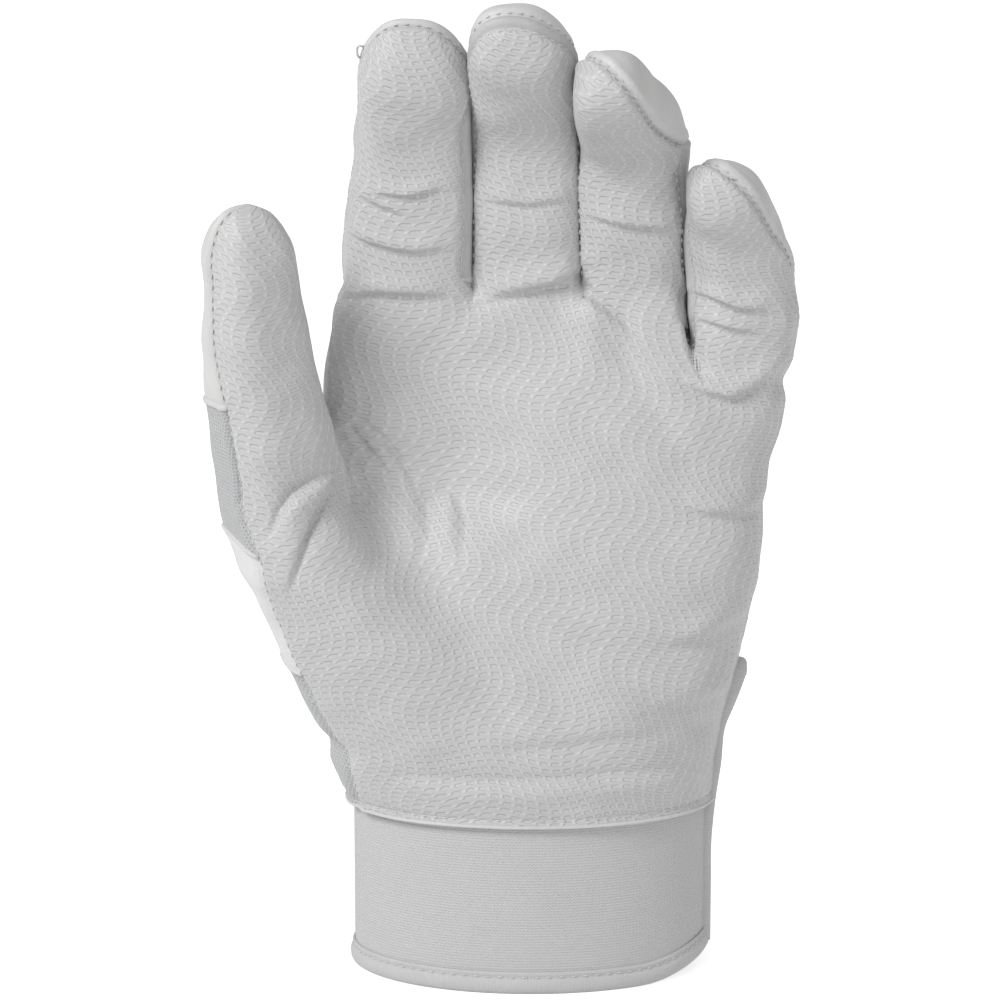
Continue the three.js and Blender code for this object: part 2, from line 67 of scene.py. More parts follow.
# Palm sections: height, thumb-side edge, little-finger edge, palm surface, back surface
PALM_SECTIONS = [
    (30, -43.0, 43.2, 27.6, 27.6),
    (41, -43.4, 43.4, 27.6, 27.6),
    (50, -46.4, 43.9, 27.4, 26.8),
    (62, -45.6, 45.6, 27.0, 25.5),
    (78, -45.6, 49.2, 25.2, 23.4),
    (90, -45.0, 51.8, 23.0, 21.4),
    (112, -44.5, 54.4, 18.6, 18.5),
    (128, -46.8, 55.8, 14.6, 16.2),
    (139, -47.6, 56.8, 11.8, 14.6),
    (148, -47.0, 57.6, 9.4, 13.0),
    (158, -45.2, 59.2, 7.6, 12.2),
    (180, -44.2, 59.2, 7.2, 12.0),
]
CUFF_POWER = 2.05
CUFF_POWER_END = 84.0
PALM_POWER = 2.6
KNUCKLE_POWER = 3.4
KNUCKLE_FROM = 128
KNUCKLE_TO = 160
WEB_HEIGHT = 161.0
LITTLE_WEB_HEIGHT = 146.0
WEB_DROP_FROM = 32.0
WEB_DROP_TO = 40.0
WEB_ROUND = 6.0

# Thumb mound sections: height, centre x, centre y, half width, half depth
MOUND_SECTIONS = [
    (40, -20.0, -4.0, 17.0, 14.0),
    (52, -25.0, -6.5, 19.4, 15.5),
    (76, -36.0, -11.5, 21.2, 17.0),
    (98, -46.4, -15.0, 17.8, 15.6),
    (112, -53.2, -16.6, 14.4, 13.8),
    (130, -60.0, -18.0, 14.0, 13.0),
]
MOUND_POWER = 2.1
MOUND_LOW = 56.0
MOUND_HIGH = 104.0
MOUND_END = 16.0
MOUND_FILLET = (12.0, 8.0)
MOUND_FILLET_HEIGHTS = (92.0, 112.0)

# Digits. Lengths run from the base bend to the middle bend and on to the tip. Half sizes are across and deep.
# A seam runs along each side: places along the digit, as shares of its length, and how far behind the
# middle it lies there, as a share of the half depth. A wall is the half width of the strip sewn in there.
DIGITS = {
    "index": dict(
        fuller=((0.0, 0.0), (0.95, 0.6)), pivot=(-28.6, -2.0, 172.0), side=3, roll=0,
        lean=8, curl=22, base=23.0, tip=34.0, dome=15.2,
        knuckle=(14.4, 11.0), middle=(13.2, 10.5), end=(12.2, 9.9), root_cut=-5.0, stub=-16.0, narrow=0.85,
        left=[(0.0, 0.15), (1.0, 0.1)], right=[(0.0, 0.0), (1.0, 0.0)], tip_seam=(0.0, 0.0),
        walls=(0.0, 0.66), tip_wall=0.0, twist=[(0.0, 0), (1.0, 0)],
        sway=[(0.0, 0), (0.7, 0), (1.0, -1.2)],
    ),
    "middle": dict(
        fuller=((0.95, 0.6), (0.9, 0.7)), pivot=(-1.0, -0.5, 174.0), side=-1, roll=0,
        lean=10, curl=32, base=26.0, tip=36.3, dome=15.4,
        knuckle=(12.3, 11.0), middle=(11.9, 10.6), end=(11.4, 10.0), root_cut=-5.0, stub=-16.0, narrow=0.95,
        left=[(0.0, 0.0), (1.0, 0.0)], right=[(0.0, 0.0), (1.0, 0.0)], tip_seam=(-0.15, -0.15),
        walls=(0.5, 0.5), tip_wall=0.16, twist=[(0.0, 0), (1.0, 0)],
        sway=[(0.0, 0), (0.6, 0), (0.85, -1.0), (1.0, -3.2)],
    ),
    "ring": dict(
        fuller=((1.5, 0.9), (0.8, 0.3)), pivot=(23.6, -1.5, 173.0), side=-3, roll=0,
        lean=16, curl=40, base=24.0, tip=34.5, dome=16.5,
        knuckle=(11.7, 10.8), middle=(11.4, 10.4), end=(8.9, 9.8), root_cut=-5.0, stub=-16.0, narrow=1.0,
        left=[(0.0, 0.0), (1.0, 0.0)], right=[(0.0, 0.0), (1.0, 0.0)], tip_seam=(0.0, 0.0),
        walls=(0.5, 0.6), tip_wall=0.0, twist=[(0.0, 0), (0.3, 10), (0.6, 40), (1.0, 52)],
        sway=[(0.0, 0), (0.25, 0.8), (0.45, 1.4), (0.6, -1.0), (0.85, -3.6), (1.0, -4.6)],
        right_end=(0.36, 0.54),
    ),
    "little": dict(
        fuller=((1.2, 1.2), (0.2, 0.2)), pivot=(48.6, -5.0, 153.0), side=-4.5, roll=0,
        lean=12, curl=28, base=20.0, tip=25.5, dome=13.8,
        knuckle=(11.4, 9.6), middle=(11.2, 9.2), end=(9.0, 8.6), root_cut=-5.0, stub=-16.0, narrow=0.72,
        left=[(0.0, 0.0), (1.0, 0.0)], right=[(0.0, 0.1), (1.0, 0.0)], tip_seam=(0.1, 0.1),
        walls=(0.5, 0.0), tip_wall=0.0, twist=[(0.0, 10), (0.3, 24), (0.6, 40), (1.0, 50)],
        sway=[(0.0, 0.4), (0.4, 0.6), (0.65, -0.4), (0.85, -2.4), (1.0, -4.4)],
    ),
    "thumb": dict(
        fuller=((-1.6, -1.6), (-0.3, -0.3)), pivot=(-55.6, -19.0, 115.0), side=-8, roll=32,
        lean=8, curl=6, base=31.0, tip=41.5, dome=14.0,
        knuckle=(14.2, 13.2), middle=(12.4, 11.4), end=(10.6, 10.0), root_cut=4.0, stub=-5.0, narrow=0.8,
        left=[(0.0, -0.42), (0.4, -0.3), (0.65, -0.05), (1.0, 0.05)], right=[(0.0, 0.2), (1.0, 0.1)],
        tip_seam=(0.05, 0.05), walls=(0.0, 0.0), tip_wall=0.0, twist=[(0.0, 0), (1.0, 0)],
        sway=[(0.0, 0), (1.0, 0)],
    ),
}
DIGIT_POWER = 2.7
PIVOT_OFFSET = 3.0
BEND_HALF_LENGTH = 9.0
WALL_START = (-14.0, -4.0)
THUMB_SEAM_START = (-10.0, 8.0)
WALL_END = (0.6, 0.86)
TIP_SEAM_EARLY = 2.0
TIP_SEAM_SHARE = 0.75
STUB_END = 14.0
STUB_SHALLOW = 0.75
SLIM = 0.75
SLIM_START = (-12.0, 4.0)
FULLER_START = (-20.0, -8.0)
ROOT_BLEND = (-4.0, 11.0)
THUMB_ROOT_BLEND = (5.0, 19.0)
THUMB_SPLIT_PAST = 0.5
MIDDLE_BLEND = 9.0
ROOT_FILLET = 4.0
THUMB_FILLET = 11.0
FAR_BEHIND = -5.0

# Seams of the hand: (x, z) seen from the front, (x, y) seen from above
PALM_SEAM = [(-70, 140), (-66.2, 121), (-61.5, 99), (-55, 79), (-48.3, 65), (-42.6, 50), (-38.5, 30)]
BACK_SEAM = [(-100, -9), (-58, -9), (-38, 2), (-20, 0), (80, 0)]
GUSSET_TOP = 71.0
GUSSET_SLOPE = -0.6
GUSSET_X = -46.0
KNIT_LOW = 105.0
KNIT_SLOPE = -0.55
KNIT_X = -63.0
KNIT_TOP_SHARE = 0.33
KNIT_TOP_SLANT = 0.35
THUMB_SIDE_X = -20.0
THUMB_SIDE_TOP = 140.0

# Knit panel across the back of the hand, and sewn lines down the back: (x, z) seen from the front
BACK_KNIT_MIDDLE = (7.0, 134.0)
BACK_KNIT_HALF = (41.0, 8.5)
BACK_KNIT_BOW = 0.004
BACK_KNIT_POWER = 6
BACK_FROM = 4.0
BACK_LINES = [
    [(-14, 118), (-15, 96), (-22, 70), (-27, 46)],
    [(12, 121), (11, 96), (9, 70), (8, 46)],
    [(34, 118), (33, 96), (35, 74), (38, 62)],
]
BACK_LINE_DEPTH = 0.6

# Slit at the little-finger side
SLIT_HALF_WIDTH = 3.0
SLIT_TOP_HALF_WIDTH = 0.6
SLIT_HEIGHT = 72.0
SLIT_SIDE_X = 30.0

# Grid on which the glove's surface is found
STEP = 0.9
GRID_LOW = np.array([-78.0, -42.0, 36.0])
GRID_HIGH = np.array([64.0, 32.0, 233.0])
GRID_MARGIN = 5.0
PALM_GRID_TOP = 182.0
AWAY = 30.0
SNAP = 0.05
SLOPE_STEP = 0.1
RELAX_SHARE = 0.5

# Camera: looks along +Y and down, at this point of the frame
VIEW_DOWN = math.radians(12.5)
VIEW_DISTANCE = 900.0
VIEW_TARGET = np.array([0.1, 0.0, 113.3])
PIXEL = 0.2335
PICTURE_MIDDLE = 501.0
PICTURE_SIZE = 1001
FACING = (0.05, 0.4)
SENSOR = 36.0

low_rim, high_rim = (np.array(corner) * 1000 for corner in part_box("cuff_binding"))
SHIFT = np.array([
    low_rim[0] + CUFF_HALF_WIDTH + RIM_OUT,
    (low_rim[1] + high_rim[1]) / 2,
    0.0,
])


def smoothstep(low, high, value):
    t = np.clip((value - low) / (high - low), 0, 1)
    return t * t * (3 - 2 * t)


def smooth_line(places, values):
    """A smooth curve through values at rising places, as a function."""
    places = np.array(places, float)
    values = np.array(values, float)
    slopes = np.gradient(values, places)
    fine = np.linspace(places[0], places[-1], 400)
    k = np.clip(np.searchsorted(places, fine, "right") - 1, 0, len(places) - 2)
    width = places[k + 1] - places[k]
    t = (fine - places[k]) / width
    curve = (
        values[k] * (1 + 2 * t) * (1 - t) ** 2
        + slopes[k] * width * t * (1 - t) ** 2
        + values[k + 1] * t * t * (3 - 2 * t)
        + slopes[k + 1] * width * t * t * (t - 1)
    )
    return lambda at: np.interp(at, fine, curve)


def smooth_union(a, b, width):
    h = np.clip(0.5 + 0.5 * (b - a) / width, 0, 1)
    return b + (a - b) * h - width * h * (1 - h)


def ellipse_distance(x, y, half_width, half_depth, power, end=0.0, end_length=1.0):
    """About how far a point lies outside a rounded outline, which closes where end reaches 1."""
    fx = np.abs(x) / half_width
    fy = np.abs(y) / half_depth
    flat = (fx**power + fy**power) ** (1 / power) + 1e-6
    size = np.sqrt(flat**2 + end**2)
    slope = np.sqrt((fx ** (power - 1) / half_width) ** 2 + (fy ** (power - 1) / half_depth) ** 2)
    slope = slope * flat ** (1 - power)
    slope = np.sqrt((flat / size * slope) ** 2 + (end / size / end_length) ** 2)
    return (size - 1) / np.maximum(slope, 0.01)


def section_lines(sections):
    """Smooth curves over height, one for each later column of the sections."""
    heights, *columns = zip(*sections)
    return [smooth_line(heights, column) for column in columns]


palm_lines = section_lines(PALM_SECTIONS)
mound_lines = section_lines(MOUND_SECTIONS)


def palm_distance(p):
    x, y, z = p[..., 0], p[..., 1], p[..., 2]
    left, right, front, back = (line(z) for line in palm_lines)
    power = CUFF_POWER + (PALM_POWER - CUFF_POWER) * smoothstep(HEM_HEIGHT, CUFF_POWER_END, z)
    power = power + (KNUCKLE_POWER - PALM_POWER) * smoothstep(KNUCKLE_FROM, KNUCKLE_TO, z)
    depth = np.where(y < 0, front, back)
    side = ellipse_distance(x - (left + right) / 2, y, (right - left) / 2, depth, power)
    drop = smoothstep(WEB_DROP_FROM, WEB_DROP_TO, x)
    top = z - (WEB_HEIGHT + (LITTLE_WEB_HEIGHT - WEB_HEIGHT) * drop)
    body = -smooth_union(-side, -top, WEB_ROUND)
    centre_x, centre_y, half_width, half_depth = (line(z) for line in mound_lines)
    end = np.maximum((MOUND_LOW - z) / MOUND_END, 0) + np.maximum((z - MOUND_HIGH) / MOUND_END, 0)
    mound = ellipse_distance(x - centre_x, y - centre_y, half_width, half_depth, MOUND_POWER, end, MOUND_END)
    low, high = MOUND_FILLET
    return smooth_union(body, mound, low - (low - high) * smoothstep(*MOUND_FILLET_HEIGHTS, z))


def turned(axis, degrees):
    """Matrix of a turn about a main axis."""
    c, s = math.cos(math.radians(degrees)), math.sin(math.radians(degrees))
    a, b = [(1, 2), (2, 0), (0, 1)][axis]
    matrix = np.eye(3)
    matrix[a, a], matrix[a, b], matrix[b, a], matrix[b, b] = c, -s, s, c
    return matrix


class Digit:
    """A finger or the thumb: a tube along a line that bends forwards in an arc between two straight runs."""

    def __init__(self, name, facts):
        self.name = name
        self.__dict__.update(facts)
        self.pivot = np.array(self.pivot)
        self.frame = turned(1, self.side) @ turned(0, self.lean) @ turned(2, self.roll)
        self.bend = math.radians(self.curl)
        rise = math.tan(self.bend / 2)
        self.radius = BEND_HALF_LENGTH / rise
        self.arc_start = self.base + PIVOT_OFFSET * rise - BEND_HALF_LENGTH
        self.arc_end = self.arc_start + self.radius * self.bend
        self.middle_at = (self.arc_start + self.arc_end) / 2
        self.length = self.arc_end + self.tip - BEND_HALF_LENGTH + PIVOT_OFFSET * rise
        self.dome_at = self.length - self.dome
        places = [self.stub - STUB_END, 0, self.middle_at, self.dome_at, self.length]
        root = (self.narrow * self.knuckle[0], STUB_SHALLOW * self.knuckle[1])
        sizes = [root, self.knuckle, self.middle, self.end, self.end]
        self.width_line = smooth_line(places, [s[0] for s in sizes])
        self.depth_line = smooth_line(places, [s[1] for s in sizes])
        self.fillet = THUMB_FILLET if name == "thumb" else ROOT_FILLET
        self.split = (ROOT_BLEND[1] + self.middle_at - MIDDLE_BLEND) / 2
        if name == "thumb":
            self.split = THUMB_ROOT_BLEND[1] + THUMB_SPLIT_PAST
        for way in ("left", "right", "twist", "sway"):
            line = getattr(self, way)
            setattr(self, way, smooth_line([k[0] * self.length for k in line], [k[1] for k in line]))

    def local(self, p):
        """Across, behind the middle and along the digit, and how far round the bend."""
        q = (p - self.pivot) @ self.frame
        out = q[..., 1] - PIVOT_OFFSET + self.radius
        up = q[..., 2] - self.arc_start
        angle = np.clip(np.arctan2(up, out), 0, self.bend)
        c, s = np.cos(angle), np.sin(angle)
        behind = out * c + up * s - self.radius
        extra = up * c - out * s
        along = self.arc_start + self.radius * angle + extra
        return q[..., 0] - self.sway(along), behind, along, angle

    def place(self, across, behind, along):
        """The point with those local places."""
        angle = np.clip((along - self.arc_start) / self.radius, 0, self.bend)
        extra = along - self.arc_start - self.radius * angle
        c, s = np.cos(angle), np.sin(angle)
        out = (behind + self.radius) * c - extra * s
        up = (behind + self.radius) * s + extra * c
        across = across + self.sway(along)
        q = np.stack([across, out - self.radius + PIVOT_OFFSET, up + self.arc_start], axis=-1)
        return q @ self.frame.T + self.pivot

    def direction(self, angle):
        """Unit vector along the digit."""
        q = np.stack([np.zeros_like(angle), -np.sin(angle), np.cos(angle)], axis=-1)
        return q @ self.frame.T

    def distance(self, across, behind, along, slim=0.0):
        tip = np.maximum((along - self.dome_at) / self.dome, 0)
        root = np.maximum((self.stub - along) / STUB_END, 0)
        width = self.width_line(along) - slim * smoothstep(*SLIM_START, along)
        depth = self.depth_line(along)
        behind = behind + np.where(along < 0, self.knuckle[1] - depth, 0)
        return ellipse_distance(across, behind, width, depth, DIGIT_POWER, tip + root, self.dome)

    def seam(self, across, behind, along):
        """How far behind the front seam and the back seam a point lies."""
        width = self.width_line(along)
        depth = self.depth_line(along)
        to_right = smoothstep(-0.5 * width, 0.5 * width, across)
        over_tip = smoothstep(self.dome_at - TIP_SEAM_EARLY, self.dome_at + TIP_SEAM_SHARE * self.dome, along)
        left = self.left(along) * (1 - over_tip) + self.tip_seam[0] * over_tip
        right = self.right(along) * (1 - over_tip) + self.tip_seam[1] * over_tip
        middle = (left + (right - left) * to_right) * depth
        wall = (self.walls[0] + (self.walls[1] - self.walls[0]) * to_right) * depth
        ends = self.right_end if "right_end" in self.__dict__ else WALL_END
        right_fade = smoothstep(ends[1], ends[0], along / self.length)
        fade = smoothstep(WALL_END[1], WALL_END[0], along / self.length)
        fade = fade + (right_fade - fade) * to_right
        wall = wall * fade + self.tip_wall * depth * (1 - fade)
        wall = wall * smoothstep(*WALL_START, along)
        twist = np.radians(self.twist(along))
        behind = behind * np.cos(twist) + across * depth / width * np.sin(twist) - middle
        return behind + wall, behind - wall, wall


digits = {name: Digit(name, facts) for name, facts in DIGITS.items()}


def glove_distance(p, slim=SLIM):
    palm = palm_distance(p)
    total = palm
    for digit in digits.values():
        across, behind, along, _ = digit.local(p)
        tube = digit.distance(across, behind, along, slim)
        total = np.minimum(total, smooth_union(palm, tube, digit.fillet))
    return total


def grid_values():
    """The glove's distance field on a regular grid, worked out only near its parts."""
    axes = [np.arange(GRID_LOW[k], GRID_HIGH[k], STEP) for k in range(3)]
    points = np.stack(np.meshgrid(*axes, indexing="ij"), axis=-1).astype(np.float32)
    values = np.full(points.shape[:3], AWAY, np.float32)
    top = np.searchsorted(axes[2], PALM_GRID_TOP)
    values[:, :, :top] = palm_distance(points[:, :, :top])
    palm = values.copy()
    for digit in digits.values():
        along = np.linspace(digit.stub - STUB_END, digit.length, 40)
        line = digit.place(0 * along, 0 * along, along)
        reach = max(digit.knuckle) + GRID_MARGIN
        low, high = line.min(0) - reach, line.max(0) + reach
        ends = zip(axes, low, high)
        part = tuple(slice(*np.searchsorted(axis, [start, end])) for axis, start, end in ends)
        across, behind, along, _ = digit.local(points[part])
        tube = digit.distance(across, behind, along, SLIM)
        values[part] = np.minimum(values[part], smooth_union(palm[part], tube, digit.fillet))
    return values


def surface_nets(values):
    """Points and four-sided faces of the zero surface of a grid of values."""
    inside = values < 0
    shape = np.array(values.shape) - 1
    corners = [np.array([i, j, k]) for i in (0, 1) for j in (0, 1) for k in (0, 1)]
    count = np.zeros(shape, np.int8)
    for i, j, k in corners:
        count += inside[i:i + shape[0], j:j + shape[1], k:k + shape[2]]
    cells = np.argwhere((count > 0) & (count < 8))
    index = np.full(shape, -1, np.int64)
    index[tuple(cells.T)] = np.arange(len(cells))
    total = np.zeros((len(cells), 3))
    crossings = np.zeros(len(cells))
    for a in corners:
        for axis in range(3):
            if a[axis]:
                continue
            b = a.copy()
            b[axis] = 1
            va = values[tuple((cells + a).T)]
            vb = values[tuple((cells + b).T)]
            crossed = (va < 0) != (vb < 0)
            t = va[crossed] / (va[crossed] - vb[crossed])
            total[crossed] += a + (b - a) * t[:, None]
            crossings[crossed] += 1
    points = GRID_LOW + (cells + total / crossings[:, None]) * STEP
    faces = []
    for axis in range(3):
        b1, b2 = (axis + 1) % 3, (axis + 2) % 3
        here = np.take(inside, range(inside.shape[axis] - 1), axis)
        there = np.take(inside, range(1, inside.shape[axis]), axis)
        edges = np.argwhere(here != there)
        fits = (edges[:, b1] > 0) & (edges[:, b2] > 0)
        fits &= (edges[:, b1] < shape[b1]) & (edges[:, b2] < shape[b2])
        edges = edges[fits]
        out = here[tuple(edges.T)]
        e1, e2 = np.eye(3, dtype=int)[b1], np.eye(3, dtype=int)[b2]
        quad = np.stack([index[tuple((edges - o).T)] for o in (0 * e1, e1, e1 + e2, e2)], axis=1)
        quad[~out] = quad[~out][:, ::-1]
        faces.append(quad)
    return points, np.concatenate(faces)


def unique_edges(triangles):
    pairs = np.concatenate([triangles[:, [0, 1]], triangles[:, [1, 2]], triangles[:, [2, 0]]])
    return np.unique(np.sort(pairs, axis=1), axis=0)


def summed(index, values, count):
    return np.stack([np.bincount(index, values[:, k], count) for k in range(values.shape[1])], axis=1)


def relaxed(points, edges, share):
    """Points moved part of the way to the middle of their neighbours."""
    both = np.concatenate([edges, edges[:, ::-1]])
    total = summed(both[:, 0], points[both[:, 1]], len(points))
    count = np.bincount(both[:, 0], minlength=len(points))
    return points + share * (total / np.maximum(count, 1)[:, None] - points)


def onto_surface(points, rounds):
    """Points moved along the slope of the distance field until they lie on the surface."""
    for _ in range(rounds):
        here = glove_distance(points)
        ahead = [glove_distance(points + SLOPE_STEP * way) for way in np.eye(3)]
        slope = np.stack([(there - here) / SLOPE_STEP for there in ahead], axis=1)
        move = (here / np.maximum((slope**2).sum(1), 0.2))[:, None] * slope
        points = points - np.clip(move, -STEP, STEP)
    return points


def vertex_normals(points, triangles):
    a, b, c = (points[triangles[:, k]] for k in range(3))
    face = np.cross(b - a, c - a)
    total = np.zeros_like(points)
    for k in range(3):
        total += summed(triangles[:, k], face, len(points))
    return total / np.maximum(np.linalg.norm(total, axis=1), 1e-12)[:, None]


def cut(points, facts, triangles, column, level, steepest=None):
    """Splits triangles along the line where a column of facts has a level. Facts are carried to new points.

    An edge along which the column climbs faster than the steepest slope is left whole.
    """
    near = np.abs(facts[:, column] - level) < SNAP
    facts[near, column] = level
    side = np.sign(facts[:, column] - level).astype(int)
    s = side[triangles]
    crossing = (s.min(1) < 0) & (s.max(1) > 0)
    kept, work = triangles[~crossing], triangles[crossing]
    if not len(work):
        return points, facts, triangles
    pairs = np.concatenate([work[:, [0, 1]], work[:, [1, 2]], work[:, [2, 0]]])
    split = side[pairs[:, 0]] * side[pairs[:, 1]] < 0
    if steepest is not None:
        climb = np.abs(facts[pairs[:, 0], column] - facts[pairs[:, 1], column])
        split &= climb < steepest * np.linalg.norm(points[pairs[:, 0]] - points[pairs[:, 1]], axis=1)
    keys = np.sort(pairs, axis=1)
    edges, back = np.unique(keys[split], axis=0, return_inverse=True)
    va = facts[edges[:, 0], column] - level
    vb = facts[edges[:, 1], column] - level
    t = (va / (va - vb))[:, None]
    new_points = points[edges[:, 0]] * (1 - t) + points[edges[:, 1]] * t
    new_facts = facts[edges[:, 0]] * (1 - t) + facts[edges[:, 1]] * t
    new_facts[:, column] = level
    middle = np.full(len(pairs), -1)
    middle[split] = len(points) + back.ravel()
    middle = middle.reshape(3, -1).T
    made = [kept, work[(middle < 0).all(axis=1)]]
    for k in range(3):
        a, b, c = work[:, k], work[:, (k + 1) % 3], work[:, (k + 2) % 3]
        ab, bc, ca = middle[:, k], middle[:, (k + 1) % 3], middle[:, (k + 2) % 3]
        one = (ab >= 0) & (ca >= 0)
        for corner in ((a, ab, ca), (ab, b, c), (ab, c, ca)):
            made.append(np.stack(corner, axis=1)[one])
        two = (ab >= 0) & (bc < 0) & (ca < 0)
        for corner in ((a, ab, c), (ab, b, c)):
            made.append(np.stack(corner, axis=1)[two])
    return np.concatenate([points, new_points]), np.concatenate([facts, new_facts]), np.concatenate(made)


palm_seam_line = smooth_line([k[1] for k in PALM_SEAM][::-1], [k[0] for k in PALM_SEAM][::-1])
back_seam_line = smooth_line([k[0] for k in BACK_SEAM], [k[1] for k in BACK_SEAM])


def slit_half_width(z):
    t = np.clip((z - HEM_HEIGHT) / (SLIT_HEIGHT - HEM_HEIGHT), 0, 1)
    return SLIT_HALF_WIDTH + (SLIT_TOP_HALF_WIDTH - SLIT_HALF_WIDTH) * t


FACT_NAMES = ["front", "back", "hem", "slit", "gusset", "knit_low", "knit_top", "back_knit", "fold"]
FACT_NAMES += [name + "_root" for name in DIGITS] + [name + "_split" for name in DIGITS]
COLUMN = {name: k for k, name in enumerate(FACT_NAMES)}
# Where the digits take over from the hand: along them, and off their sides
THUMB_CLEAR = (-3.0, 1.0)
TURN_START = (-14.0, 2.0)
TURN_REACH = (7.0, 1.0)
LEAST_WALL = 0.15


def point_facts(p):
    """Where points lie beside the seams and along the digits, and the way up the leather there."""
    x, y, z = p.T
    behind_back = y - back_seam_line(x)
    front = np.maximum(palm_seam_line(z) - x, behind_back)
    back = behind_back
    wall = np.zeros(len(p))
    up = np.tile(np.array([0.0, 0.0, 1.0]), (len(p), 1))
    local = {name: digit.local(p) for name, digit in digits.items()}
    tubes = np.stack([digits[name].distance(*local[name][:3], SLIM) for name in digits], axis=1)
    owner = tubes.argmin(axis=1)
    palm = palm_distance(p)
    facts = np.zeros((len(p), len(FACT_NAMES)))
    facts[:, COLUMN["knit_top"]] = FAR_BEHIND
    for k, (name, digit) in enumerate(digits.items()):
        across, behind, along, angle = local[name]
        f, b, w = digit.seam(across, behind, along)
        start = WALL_START if name != "thumb" else THUMB_SEAM_START
        share = smoothstep(*start, along) * (owner == k)
        if name == "thumb":
            share = share * smoothstep(*THUMB_CLEAR, palm - tubes[:, k])
        front = front + (f - front) * share
        back = back + (b - back) * share
        wall = wall + (w - wall) * share
        turn = smoothstep(*TURN_START, along) * (owner == k) * smoothstep(*TURN_REACH, tubes[:, k])
        up = up + (digit.direction(angle) - up) * turn[:, None]
        other = np.delete(tubes, k, axis=1).min(axis=1)
        if name == "thumb":
            other = np.minimum(other, palm)
            facts[:, COLUMN["knit_top"]] = along - KNIT_TOP_SHARE * digit.length + KNIT_TOP_SLANT * across
        facts[:, COLUMN[name + "_root"]] = np.minimum(along - digit.root_cut, other - tubes[:, k])
        facts[:, COLUMN[name + "_split"]] = np.minimum(along - digit.split, other - tubes[:, k])
    facts[:, COLUMN["front"]] = front
    facts[:, COLUMN["back"]] = np.where(wall + (x < THUMB_SIDE_X) < LEAST_WALL, front, back)
    facts[:, COLUMN["hem"]] = z - HEM_HEIGHT
    by_slit = (x > SLIT_SIDE_X) & (z < SLIT_HEIGHT)
    facts[:, COLUMN["slit"]] = np.where(by_slit, np.abs(y) - slit_half_width(z), AWAY)
    off = np.abs(x - BACK_KNIT_MIDDLE[0])
    over = np.abs(z - BACK_KNIT_MIDDLE[1] + BACK_KNIT_BOW * off**2)
    size = (off / BACK_KNIT_HALF[0]) ** BACK_KNIT_POWER + (over / BACK_KNIT_HALF[1]) ** BACK_KNIT_POWER
    inward = (1 - size ** (1 / BACK_KNIT_POWER)) * BACK_KNIT_HALF[1]
    facts[:, COLUMN["back_knit"]] = np.where(y > BACK_FROM, inward, FAR_BEHIND)
    facts[:, COLUMN["gusset"]] = z - GUSSET_TOP - GUSSET_SLOPE * (x - GUSSET_X)
    facts[:, COLUMN["knit_low"]] = z - KNIT_LOW - KNIT_SLOPE * (x - KNIT_X)
    return facts, up


# Swells and dips of the digits' sides: which side, the share of the length, the reach, how far it stands
# out, and whether only the front half does
SWELLS = {
    "little": (-1, 0.33, 0.3, -3.0, True),
    "ring": (1, 0.6, 0.14, 1.6, False),
    "thumb": (-1, 0.5, 0.26, 1.8, False),
}
WIDEN_REACH = (4.0, 1.0)
FRONT_HALF = (0.3, -0.5)


def widened(p):
    """The fingers were narrowed to keep them apart; this gives them their width again."""
    moved = p.copy()
    tubes = []
    for digit in digits.values():
        across, behind, along, _ = digit.local(p)
        tubes.append(digit.distance(across, behind, along, SLIM))
    owner = np.stack(tubes, axis=1).argmin(axis=1)
    for k, digit in enumerate(digits.values()):
        across, behind, along, _ = digit.local(p)
        near = (owner == k) * smoothstep(*WIDEN_REACH, tubes[k])
        ahead = smoothstep(*FRONT_HALF, behind / digit.depth_line(along))
        left, right = (back + (front - back) * ahead for front, back in digit.fuller)
        extra = np.where(across < 0, left, right)
        if digit.name in SWELLS:
            side, share, reach, height, front_only = SWELLS[digit.name]
            swell = height * np.exp(-((along / digit.length - share) / reach) ** 2)
            swell = swell * ahead if front_only else swell
            extra = extra + swell * (side * across > 0)
        out = SLIM * smoothstep(*SLIM_START, along) + extra * smoothstep(*FULLER_START, along)
        out = out * near * across / digit.width_line(along)
        moved += out[:, None] * digit.frame[:, 0]
    return moved


def picture_place(p):
    """Where points appear in the camera's picture, in picture points across and down."""
    q = p + SHIFT - VIEW_TARGET
    c, s = math.cos(VIEW_DOWN), math.sin(VIEW_DOWN)
    depth = VIEW_DISTANCE + q[:, 1] * c - q[:, 2] * s
    scale = VIEW_DISTANCE / PIXEL / depth
    right = PICTURE_MIDDLE + q[:, 0] * scale
    down = PICTURE_MIDDLE - (q[:, 1] * s + q[:, 2] * c) * scale
    return np.stack([right, down], axis=1)


def beside_line(places, line):
    """How far places lie to the right of a line, and how far along it, from 0 to 1."""
    line = np.array(line, float)
    lengths = np.linalg.norm(np.diff(line, axis=0), axis=1)
    total = lengths.sum()
    best = np.full(len(places), 1e9)
    signed = np.zeros(len(places))
    share = np.zeros(len(places))
    start = 0.0
    for a, b, length in zip(line[:-1], line[1:], lengths):
        way = (b - a) / length
        t = np.clip((places - a) @ way, 0, length)
        off = places - a - t[:, None] * way
        size = np.linalg.norm(off, axis=1)
        nearer = size < best
        best[nearer] = size[nearer]
        side = np.sign(way[0] * off[:, 1] - way[1] * off[:, 0])
        signed[nearer] = (size * side)[nearer]
        share[nearer] = ((start + t) / total)[nearer]
        start += length
    return signed, share


def facing_camera(normals):
    towards = np.array([0, -math.cos(VIEW_DOWN), math.sin(VIEW_DOWN)])
    return smoothstep(*FACING, normals @ towards)


